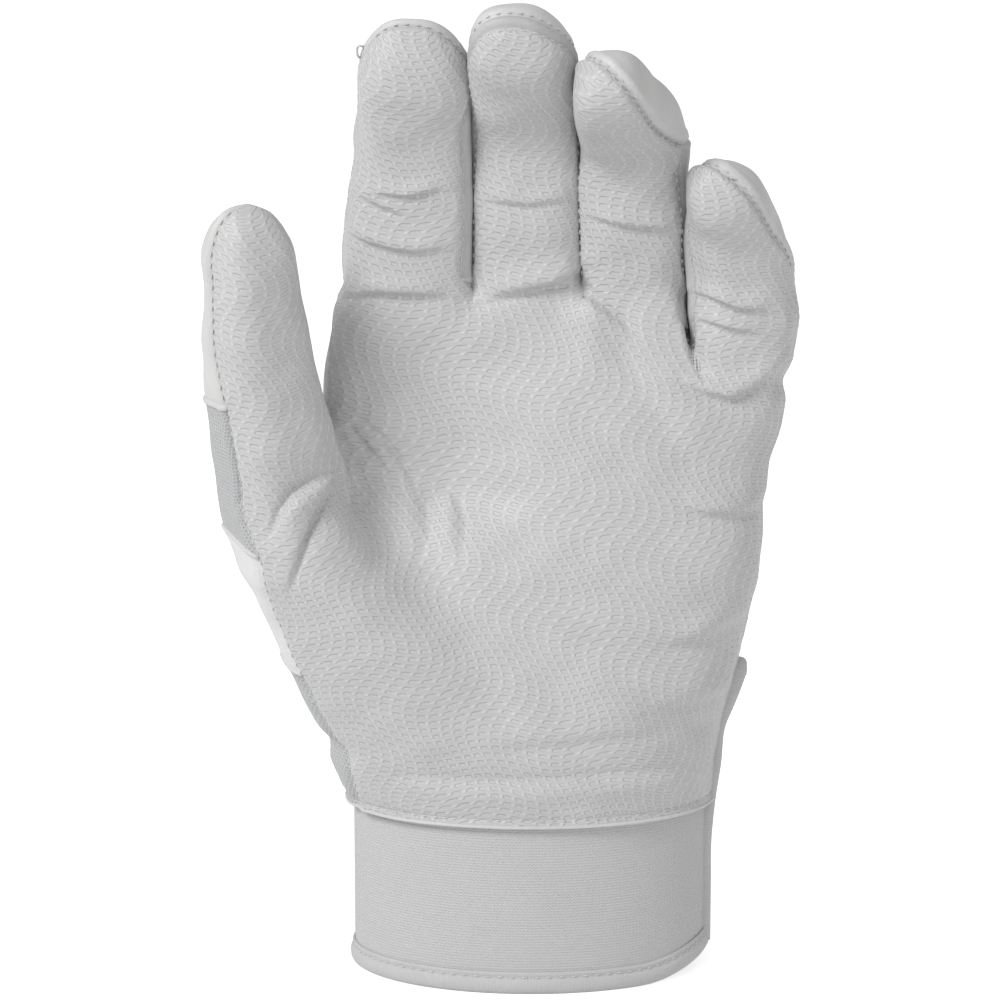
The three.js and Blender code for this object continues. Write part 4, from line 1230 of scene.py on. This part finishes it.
class Nodes:
    """Shader nodes of one material, with sums written as calls."""

    def __init__(self, name):
        self.name = name
        self.material = bpy.data.materials.new(name)
        self.material.use_nodes = True
        self.tree = self.material.node_tree
        self.shader = self.tree.nodes["Principled BSDF"]
        where = self.node("ShaderNodeUVMap")
        where.uv_map = "flow"
        parts = self.node("ShaderNodeSeparateXYZ")
        self.put(parts.inputs[0], where.outputs["UV"])
        self.across, self.up = parts.outputs[0], parts.outputs[1]
        self.place = self.node("ShaderNodeTexCoord").outputs["Object"]

    def node(self, kind):
        return self.tree.nodes.new(kind)

    def put(self, socket, value):
        if isinstance(value, bpy.types.NodeSocket):
            self.tree.links.new(value, socket)
        else:
            socket.default_value = value

    def sum(self, operation, *values):
        made = self.node("ShaderNodeMath")
        made.operation = operation
        for socket, value in zip(made.inputs, values):
            self.put(socket, value)
        return made.outputs[0]

    def add(self, a, b):
        return self.sum("ADD", a, b)

    def times(self, a, b):
        return self.sum("MULTIPLY", a, b)

    def size(self, a, b):
        return self.sum("SQRT", self.add(self.times(a, a), self.times(b, b)))

    def beyond(self, value, edge):
        return self.sum("MAXIMUM", self.sum("SUBTRACT", value, edge), 0.0)

    def noise(self, size, detail=3.0):
        """Soft noise from 0 to 1 with patches of a size in millimetres."""
        made = self.node("ShaderNodeTexNoise")
        self.put(made.inputs["Scale"], 1000 / size)
        self.put(made.inputs["Detail"], detail)
        self.put(made.inputs["Vector"], self.place)
        return made.outputs["Fac"]

    def cells(self, size, edge):
        """Round spots a size in millimetres apart: 0 in their middles and 1 outside their edges."""
        made = self.node("ShaderNodeTexVoronoi")
        self.put(made.inputs["Scale"], 1000 / size)
        self.put(made.inputs["Vector"], self.place)
        return self.step(made.outputs["Distance"], *edge)

    def step(self, value, low, high):
        made = self.node("ShaderNodeMapRange")
        made.interpolation_type = "SMOOTHSTEP"
        self.put(made.inputs["Value"], value)
        self.put(made.inputs["From Min"], low)
        self.put(made.inputs["From Max"], high)
        return made.outputs["Result"]

    def within(self, value, size):
        """How far a place is from the middle of its cell, in millimetres."""
        share = self.sum("FRACT", self.sum("DIVIDE", value, size))
        return self.times(self.sum("ABSOLUTE", self.sum("SUBTRACT", share, 0.5)), size)

    def wave(self, value, size):
        return self.sum("SINE", self.times(value, 2 * math.pi / size))

    def ribs(self, wave):
        """A wave brought to the range from 0 to 1."""
        return self.add(self.times(wave, 0.5), 0.5)

    def worn(self, pattern, patch, least):
        """A pattern that is weaker in some patches than in others."""
        return self.times(pattern, self.add(self.noise(patch), least))

    def mixed(self, first, first_share, second, second_share):
        return self.add(self.times(first, first_share), self.times(second, second_share))

    def paint(self, shade, grain, *heights):
        """Colour by a shade, roughness by a grain, and bumps by heights with depths in millimetres."""
        light, dark = COLOURS[self.name]
        mix = self.node("ShaderNodeMix")
        mix.data_type = "RGBA"
        self.put(mix.inputs["Factor"], shade)
        self.put(mix.inputs[6], (*dark, 1))
        self.put(mix.inputs[7], (*light, 1))
        self.put(self.shader.inputs["Base Color"], mix.outputs[2])
        low, high = ROUGHNESS[self.name]
        rough = self.node("ShaderNodeMapRange")
        self.put(rough.inputs["Value"], grain)
        self.put(rough.inputs["To Min"], low)
        self.put(rough.inputs["To Max"], high)
        self.put(self.shader.inputs["Roughness"], rough.outputs["Result"])
        before = None
        for height, depth in heights:
            bump = self.node("ShaderNodeBump")
            self.put(bump.inputs["Strength"], 1.0)
            self.put(bump.inputs["Distance"], depth / 1000)
            self.put(bump.inputs["Height"], height)
            if before is not None:
                self.put(bump.inputs["Normal"], before)
            before = bump.outputs["Normal"]
        self.put(self.shader.inputs["Normal"], before)
        return self.material

    def sheen(self, weight, roughness=0.5):
        self.put(self.shader.inputs["Sheen Weight"], weight)
        self.put(self.shader.inputs["Sheen Roughness"], roughness)


def embossed_leather():
    m = Nodes("embossed_leather")
    drift = m.times(m.noise(DRIFT_PATCH, 1.0), EMBOSS_DRIFT)
    at = m.add(m.add(m.up, drift), m.times(m.across, EMBOSS_SLANT))
    swing = m.times(m.wave(at, EMBOSS_WAVE_LENGTH), EMBOSS_WAVE)
    across = m.within(m.add(m.across, swing), EMBOSS_ACROSS)
    rise = m.times(m.wave(m.add(m.across, drift), EMBOSS_ROW_LENGTH), EMBOSS_ROW_WAVE)
    up = m.within(m.add(m.up, rise), EMBOSS_ROW)
    ridge = m.step(m.size(m.beyond(across, PIT_HALF[0]), m.beyond(up, PIT_HALF[1])), *PIT_EDGE)
    beside = m.sum("SUBTRACT", EMBOSS_ACROSS / 2, across)
    # Dots of wall between neighbouring pits in a row: a raised bump, and painted lighter as a painted
    # highlight where they catch the light
    wall_dot_and_highlight = m.times(m.step(beside, *WALL_DOT_AND_HIGHLIGHT[0]), m.step(up, *WALL_DOT_AND_HIGHLIGHT[1]))
    grain = m.noise(0.5)
    # Colour: a little lighter in the pits than on the ridges between them, a painted highlight, with soft
    # noise and grain as tone that differs at random
    shade = m.add(m.mixed(ridge, -0.08, m.noise(9.0), 0.5), m.times(grain, 0.25))
    return m.paint(m.add(shade, m.times(wall_dot_and_highlight, 0.55)), grain, (grain, 0.06), (ridge, 0.15), (wall_dot_and_highlight, 0.07))


def smooth_leather():
    m = Nodes("smooth_leather")
    grain = m.noise(0.6)
    pore = m.cells(PORE_SPACING, PORE_EDGE)
    return m.paint(m.noise(12.0), grain, (grain, 0.03), (pore, 0.05), (m.noise(2.2), 0.12))


def side_leather():
    m = Nodes("side_leather")
    return m.paint(m.noise(8.0), m.noise(0.6), (m.noise(0.5), 0.08), (m.noise(1.6), 0.12))


# Leather of the strips between the fingers, painted darker grey as the shade of the gaps between them
def strip_leather_painted_shade():
    m = Nodes("strip_leather_painted_shade")
    return m.paint(m.noise(6.0), m.noise(0.6), (m.noise(0.5), 0.05), (m.noise(2.0), 0.1))


def grey_knit():
    m = Nodes("grey_knit")
    half = m.times(m.sum("FLOOR", m.sum("DIVIDE", m.up, KNIT_ROW)), KNIT_ACROSS / 2)
    across = m.within(m.add(m.across, half), KNIT_ACROSS)
    yarn = m.step(m.size(across, m.within(m.up, KNIT_ROW)), *KNIT_HOLE)
    m.sheen(0.2)
    return m.paint(m.worn(yarn, 4.0, 0.45), m.noise(0.5), (m.noise(0.3), 0.04), (yarn, 0.12))


def cuff_jersey():
    m = Nodes("cuff_jersey")
    slant = m.add(m.up, m.times(m.wave(m.across, JERSEY_ACROSS), JERSEY_SWING))
    rib = m.ribs(m.wave(slant, JERSEY_ROW))
    shade = m.mixed(rib, 0.5, m.noise(14.0), 0.5)
    m.sheen(0.15)
    return m.paint(shade, m.noise(0.6), (m.noise(0.35), 0.04), (rib, 0.09), (m.noise(5.0), 0.15))


def binding_tape():
    m = Nodes("binding_tape")
    rib = m.ribs(m.wave(m.across, TAPE_RIB))
    m.sheen(0.15)
    return m.paint(m.mixed(rib, 0.25, m.noise(6.0), 0.6), m.noise(0.4), (m.noise(0.3), 0.04), (rib, 0.03))


def strap_fabric():
    m = Nodes("strap_fabric")
    weave = m.ribs(m.times(m.wave(m.across, STRAP_WEAVE), m.wave(m.up, STRAP_WEAVE)))
    m.sheen(0.15)
    return m.paint(m.worn(weave, 8.0, 0.4), m.noise(0.5), (m.noise(0.3), 0.03), (weave, 0.12))


def hook_and_loop():
    m = Nodes("hook_and_loop")
    fuzz = m.noise(0.8, 6.0)
    tuft = m.cells(HOOK_SPACING, TUFT_EDGE)
    m.sheen(0.3, 0.6)
    return m.paint(m.times(tuft, m.add(fuzz, 0.4)), fuzz, (tuft, 0.3), (fuzz, 0.3))


def soft_tab():
    m = Nodes("soft_tab")
    rib = m.ribs(m.wave(m.up, TAB_RIB))
    return m.paint(m.worn(rib, 5.0, 0.4), m.noise(0.8), (m.noise(0.5), 0.03), (rib, 0.2))


def thread():
    m = Nodes("thread")
    return m.paint(m.noise(0.6), m.noise(0.4), (m.noise(0.25), 0.05))


MATERIALS = {
    made.__name__: made()
    for made in (
        embossed_leather, smooth_leather, side_leather, strip_leather_painted_shade, grey_knit, cuff_jersey, binding_tape,
        strap_fabric, hook_and_loop, soft_tab, thread,
    )
}


def finish(made, material):
    made.data.materials.append(MATERIALS[material])
    return made


def carry(made, part):
    """Bakes the placement of a piece of a digit into its mesh, the same for either part."""
    if part == "base":
        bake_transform(made)
    else:
        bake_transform(made)


# Skin pieces
HAND_PIECES = {
    "palm": ("embossed_leather", ["palm_leather"]),
    "back": ("smooth_leather", ["back_panel"]),
    "webs": ("smooth_leather", []),
    "back_knit": ("grey_knit", []),
    "thumb_side": ("smooth_leather", ["thumb_side_panel"]),
    "thumb_root_knit": ("grey_knit", []),
    "wrist_gusset": ("grey_knit", ["wrist_gusset"]),
}
nodes = set(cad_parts)
STITCH_SPACING = 2.5
ROLL_STEP = 0.9
for name in sorted(set(piece)):
    faces = triangles[piece == name]
    is_front = name == "palm" or name.endswith("_front")
    made = shell(name + "_skin", skin, normals, faces, LEATHER, front_flow if is_front else flow)
    if name in HAND_PIECES:
        material, stands_for = HAND_PIECES[name]
        finish(made, "side_leather" if name == "thumb_side" else material)
        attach(made, "hand")
    else:
        digit, part, side = name.split("_")
        if side == "front":
            material = "embossed_leather"
        elif side == "knit" or (digit == "thumb" and part == "base"):
            material = "grey_knit"
        else:
            material = "smooth_leather"
        # Strips at the digits' sides get the darker grey leather, painted shade of the gaps between the
        # fingers
        finish(made, "strip_leather_painted_shade" if side == "sides" else material)
        carry(made, part)
        stands_for = [name]
        if side == "sides":
            stands_for = [f"{digit}_{part}_side_{way}" for way in ("thumbward", "outward")]
        if side == "front":
            stands_for.append(digit + ("_knuckle_flex" if part == "base" else "_middle_flex"))
    stands_for = [node for node in stands_for if node in nodes]
    if stands_for:
        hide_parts(*stands_for)
    lines = []
    if is_front:
        lines += seam_path("front", -SEAM_SIDE, faces, STITCH_SPACING)
    if name == "back" or (name.endswith("_back") and name != "thumb_base_back"):
        lines += seam_path("back", SEAM_SIDE, faces, STITCH_SPACING)
    if name in ("palm", "back"):
        lines += seam_path("hem", HEM_STITCH, faces, STITCH_SPACING)
    if lines:
        sewn = finish(stitches(name + "_stitches", lines), "thread")
        if name in HAND_PIECES:
            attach(sewn, "hand")
        else:
            carry(sewn, part)

# Rolled edges of the leather: the hem over the cuff, the thumb's hem and the piping at the side
ROLL_SIDES = 12
ROLL_POWER = 2.2
ROLLS = [
    ("palm_hem", "hem", ["palm", "back", "wrist_gusset", "thumb_side"], 0.45, 0.42, "smooth_leather", None),
    ("thumb_hem", "knit_top", ["thumb_tip_back"], 0.7, 0.8, "smooth_leather", "thumb"),
    ("side_piping", "knit_low", ["thumb_root_knit"], 0.6, 0.6, "smooth_leather", None),
    ("gusset_piping", "gusset", ["thumb_side"], 0.5, 0.5, "smooth_leather", None),
]
for name, column, names, thick, tall, material, digit in ROLLS:
    lines = seam_path(column, 0.0, triangles[np.isin(piece, names)], ROLL_STEP)
    for k, (path, ways) in enumerate(lines):
        made = sweep(f"{name}_{k}", path, ways, rounded(thick, tall, ROLL_SIDES, ROLL_POWER))
        finish(made, material)
        if digit is None:
            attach(made, "hand")
        else:
            carry(made, "tip")

# Bar tacks sewn at the crotches of the fingers, at places of the picture
BAR_TACKS = [((580, 301), 0.3), ((690, 352), 0.1)]
TACK_ROWS = (-0.8, 0.0, 0.8)
TACK_LENGTH = 1.1
TACK_THICK = 0.36
TACK_STEPS = np.linspace(-1.6, 1.6, 5)
palm_points = np.unique(triangles[piece == "palm"])
palm_places = picture_place(skin[palm_points])
tack_lines = []
for middle_place, lean in BAR_TACKS:
    nearest = palm_points[np.argmin(((palm_places - middle_place) ** 2).sum(axis=1))]
    out = normals[nearest]
    along_tack = np.array([lean, 0.0, 1.0])
    along_tack -= (along_tack @ out) * out
    along_tack /= np.linalg.norm(along_tack)
    beside_tack = np.cross(out, along_tack)
    for row in TACK_ROWS:
        line = skin[nearest] + row * beside_tack + TACK_STEPS[:, None] * along_tack
        tack_lines.append((line, np.tile(out, (len(line), 1))))
tacks = finish(stitches("finger_bar_tacks", tack_lines, TACK_LENGTH, TACK_THICK), "thread")
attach(tacks, "hand")

# A small loop of loose thread at the tip of the index finger
LOOP_AT = (-10.9, 1.5, -9.4)
LOOP_SIZE = (0.9, 1.8)
LOOP_THICK = 0.28
LOOP_TURN = 2.4
LOOP_TWIST = 0.2
LOOP_SIDES = 8
LOOP_POWER = 2.0
index = digits["index"]
turn = np.linspace(-LOOP_TURN, LOOP_TURN, 24)
loop_path = index.place(
    LOOP_AT[0] - LOOP_SIZE[0] * (1 + np.cos(turn)),
    LOOP_AT[1] + LOOP_TWIST * np.sin(3 * turn),
    index.length + LOOP_AT[2] + LOOP_SIZE[1] * np.sin(turn),
)
loop_ways = np.tile(np.array([0.0, -1.0, 0.0]), (len(turn), 1))
loop_outline = rounded(LOOP_THICK, LOOP_THICK, LOOP_SIDES, LOOP_POWER)
thread_loop = sweep("index_thread_loop", loop_path, loop_ways, loop_outline)
finish(thread_loop, "thread")
carry(thread_loop, "tip")

# Cuff band and its tapes
CUFF_PUFF = 0.6
BAND_LOW = 0.8
BAND_SIDES = 48
BAND_POWER = 8.0
CORNER_LIFT = 3.6
CORNER_TURN = 46.0
SLIT_TURN = math.degrees(math.asin(SLIT_HALF_WIDTH / CUFF_HALF_DEPTH))
turns = np.linspace(SLIT_TURN, 360 - SLIT_TURN, 220)
lift = CORNER_LIFT * smoothstep(CORNER_TURN, 0, np.minimum(turns, 360 - turns) - SLIT_TURN)
cuff_path = cuff_place(turns, CUFF_PUFF, 0)
rim_path = cuff_place(turns, CUFF_PUFF, lift)
cuff_ways = cuff_out(turns)
band_half = CUFF_THICKNESS / 2
band_tall = (CUFF_TOP - BAND_LOW) / 2
band_middle = (CUFF_TOP + BAND_LOW) / 2
band_outline = rounded(band_half, band_tall, BAND_SIDES, BAND_POWER, -band_half, band_middle)
band_outline = np.tile(band_outline, (len(turns), 1, 1))
band_outline[:, :, 1] += lift[:, None] * (1 - band_outline[:, :, 1] / CUFF_TOP)
cuff_band = finish(sweep("cuff_band_skin", cuff_path, cuff_ways, band_outline), "cuff_jersey")
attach(cuff_band, "hand")
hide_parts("cuff_band")
RIM_OUTLINE = [
    (0.05, 5.5), (0.42, 5.4), (0.55, 5.0), (0.5, 4.5), (0.3, 4.15), (0.7, 3.8), (1.0, 3.1), (1.1, 2.2),
    (1.0, 1.2), (0.6, 0.45), (0.0, 0.05), (-1.2, 0.0), (-2.4, 0.05), (-3.0, 0.45), (-3.4, 1.2), (-3.5, 2.2),
    (-3.3, 3.2), (-2.9, 4.2), (-2.45, 4.4), (-2.3, 3.0), (-2.2, 1.6), (-0.2, 1.6), (-0.05, 3.0),
]
rim = finish(sweep("cuff_binding_skin", rim_path, cuff_ways, RIM_OUTLINE), "binding_tape")
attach(rim, "hand")
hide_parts("cuff_binding")
RIM_STITCH = (0.4, 4.3)
RIM_STITCH_END = SLIT_TURN + 3
RIM_STITCHES = 88
rim_turns = np.linspace(RIM_STITCH_END, 360 - RIM_STITCH_END, RIM_STITCHES)
rim_heights = RIM_STITCH[1] + np.interp(rim_turns, turns, lift)
rim_line = (cuff_place(rim_turns, CUFF_PUFF + RIM_STITCH[0], rim_heights), cuff_out(rim_turns))
rim_stitches = finish(stitches("cuff_binding_stitches", [rim_line]), "thread")
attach(rim_stitches, "hand")

# Tape folded round the slit. The skin's edge there: height and x.
SKIN_EDGE = [
    (20, 41.6), (30, 41.6), (41, 42.5), (50, 43.8), (59, 44.6), (65, 46.8), (72, 49.2), (86, 51.6),
]
SLIT_SINK = 0.4
TAPE_OFF = 0.5
TAPE_LOW = 2.2
TAPE_ARCH = 1.8
TAPE_TOP = SLIT_HEIGHT - 1
TAPE_HALF = (2.0, 1.5)
TAPE_GROW = 0.25
TAPE_GROW_HEIGHTS = (50.0, 70.0)
TAPE_SIDES = 20
TAPE_POWER = 2.8
skin_edge = smooth_line([place[0] for place in SKIN_EDGE], [place[1] for place in SKIN_EDGE])
heights = np.linspace(TAPE_LOW + CORNER_LIFT, TAPE_TOP, 90)
half = slit_half_width(heights) + TAPE_OFF
legs = [np.stack([skin_edge(heights) - SLIT_SINK, way * half, heights], axis=1) for way in (-1, 1)]
turn = np.linspace(-math.pi / 2, math.pi / 2, 14)[1:-1]
top_half = slit_half_width(np.array([SLIT_HEIGHT])) + TAPE_OFF
apex = np.stack([
    np.full(len(turn), skin_edge(SLIT_HEIGHT) - SLIT_SINK),
    top_half * np.sin(turn),
    TAPE_TOP + TAPE_ARCH * np.cos(turn),
], axis=1)
slit_path = np.concatenate([legs[0], apex, legs[1][::-1]])
slit_out = np.tile(np.array([1.0, 0.0, 0.0]), (len(slit_path), 1))
grow = 1 + TAPE_GROW * smoothstep(*TAPE_GROW_HEIGHTS, slit_path[:, 2])
slit_outline = np.stack([rounded(TAPE_HALF[0] * g, TAPE_HALF[1] * g, TAPE_SIDES, TAPE_POWER) for g in grow])
slit_tape = finish(sweep("slit_binding_skin", slit_path, slit_out, slit_outline), "binding_tape")
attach(slit_tape, "hand")
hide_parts("slit_binding")

# Strap and its fittings, on the back of the cuff: degrees round from the slit, heights, and how far out each
# lies, with its thickness and the roundness of its corners
STRAP_TALL = (7.0, 38.0)
PATCH_TALL = (10.0, 35.0)
TAB_TALL = (12.0, 33.0)
STRAP_START = 32.0
STRAP_END = 138.0
ANCHOR_END = 43.0
LOOP_START = 64.0
HOOK_START = 92.0
HOOK_END = 134.0
TAB_START = 128.0
TAB_END = 144.0
STRAP_STITCH_IN = 2.6
STRAP_STITCH_OUT = 4.0
STRAP_STITCHES = 32
STRAP_GROOVE = (0.25, 0.5)
STRAP_PIECES = {
    "loop_patch": ("hand", (LOOP_START, STRAP_END), PATCH_TALL, 0.3, 0.8, 3, "hook_and_loop"),
    "strap_anchor": ("hand", (STRAP_START, ANCHOR_END), STRAP_TALL, 0.3, 1.9, 1, "strap_fabric"),
    "hook_patch": ("strap_body", (HOOK_START, HOOK_END), PATCH_TALL, 1.4, 0.8, 3, "hook_and_loop"),
    "strap": ("strap_body", (STRAP_START, STRAP_END), STRAP_TALL, 2.5, 1.6, 5, "strap_fabric"),
    "pull_tab": ("strap_body", (TAB_START, TAB_END), TAB_TALL, 4.4, 1.4, 5, "soft_tab"),
}


def strap_swell(z):
    """The stitched line near each edge of the strap lies in a shallow groove."""
    from_edge = np.minimum(z - STRAP_TALL[0], STRAP_TALL[1] - z)
    return -STRAP_GROOVE[0] * hump(from_edge - STRAP_STITCH_IN, STRAP_GROOVE[1])


for name, (body, around, tall, out, thick, corner, material) in STRAP_PIECES.items():
    swell = strap_swell if name == "strap" else None
    made = plate(name + "_skin", around, tall, out, thick, corner, swell=swell)
    finish(made, material)
    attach(made, body)
    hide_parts(name)

strap_turns = np.linspace(STRAP_START + 2, TAB_START - 2, STRAP_STITCHES)
strap_lines = [
    (cuff_place(strap_turns, STRAP_STITCH_OUT, z), cuff_out(strap_turns))
    for z in (STRAP_TALL[0] + STRAP_STITCH_IN, STRAP_TALL[1] - STRAP_STITCH_IN)
]
strap_sewn = finish(stitches("strap_stitches", strap_lines), "thread")
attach(strap_sewn, "strap_body")

# Stage, light and camera
WORLD_LEVEL = 0.5
FLOOR = 6.0
FLOOR_COLOUR = (0.85, 0.85, 0.85, 1)
FLOOR_ROUGHNESS = 0.9
FLOOR_GLOW = 0.7
WHITE = (1, 1, 1, 1)
# Lamps: watts, size and place in metres
LAMPS = {
    "key": (13.6, 0.5, (-0.88, -0.8, 1.05)),
    "fill": (1.6, 0.8, (0.95, -0.7, 0.3)),
}
LAMP_AIM = Vector((0, 0, 0.12))


def floor_paint():
    """White paint that glows to the camera, so that the floor is white and still takes the shadow."""
    m = Nodes("floor")
    m.put(m.shader.inputs["Base Color"], FLOOR_COLOUR)
    m.put(m.shader.inputs["Roughness"], FLOOR_ROUGHNESS)
    m.put(m.shader.inputs["Specular IOR Level"], 0.0)
    ray = m.node("ShaderNodeLightPath").outputs
    seen = m.sum("MAXIMUM", ray["Is Camera Ray"], ray["Is Glossy Ray"])
    seen = m.sum("MAXIMUM", seen, ray["Is Transmission Ray"])
    glow = m.node("ShaderNodeEmission")
    m.put(glow.inputs["Color"], WHITE)
    m.put(glow.inputs["Strength"], m.times(seen, FLOOR_GLOW))
    together = m.node("ShaderNodeAddShader")
    m.put(together.inputs[0], m.shader.outputs[0])
    m.put(together.inputs[1], glow.outputs[0])
    m.put(m.tree.nodes["Material Output"].inputs["Surface"], together.outputs[0])
    return m.material


scene = bpy.context.scene
scene.view_settings.view_transform = "Standard"
world = bpy.data.worlds.new("world")
world.use_nodes = True
sky = world.node_tree.nodes["Background"]
sky.inputs["Color"].default_value = WHITE
sky.inputs["Strength"].default_value = WORLD_LEVEL
scene.world = world
floor_mesh = bpy.data.meshes.new("floor")
floor_corners = [(FLOOR * x, FLOOR * y, 0) for x, y in ((-1, -1), (1, -1), (1, 1), (-1, 1))]
floor_mesh.from_pydata(floor_corners, [], [(0, 1, 2, 3)])
floor_mesh.materials.append(floor_paint())
floor = bpy.data.objects.new("floor", floor_mesh)
scene.collection.objects.link(floor)

for name, (energy, size, location) in LAMPS.items():
    lamp = bpy.data.lights.new(name, "AREA")
    lamp.energy = energy
    lamp.size = size
    stand = bpy.data.objects.new(name, lamp)
    stand.location = location
    aim = LAMP_AIM - stand.location
    stand.rotation_euler = aim.to_track_quat("-Z", "Y").to_euler()
    scene.collection.objects.link(stand)

lens = bpy.data.cameras.new("camera")
lens.sensor_width = SENSOR
lens.lens = SENSOR * VIEW_DISTANCE / (PICTURE_SIZE * PIXEL)
camera = bpy.data.objects.new("camera", lens)
back = Vector((0, -math.cos(VIEW_DOWN), math.sin(VIEW_DOWN)))
camera.location = Vector(VIEW_TARGET / 1000) + back * VIEW_DISTANCE / 1000
camera.rotation_euler = (math.pi / 2 - VIEW_DOWN, 0, 0)
scene.collection.objects.link(camera)
scene.camera = camera
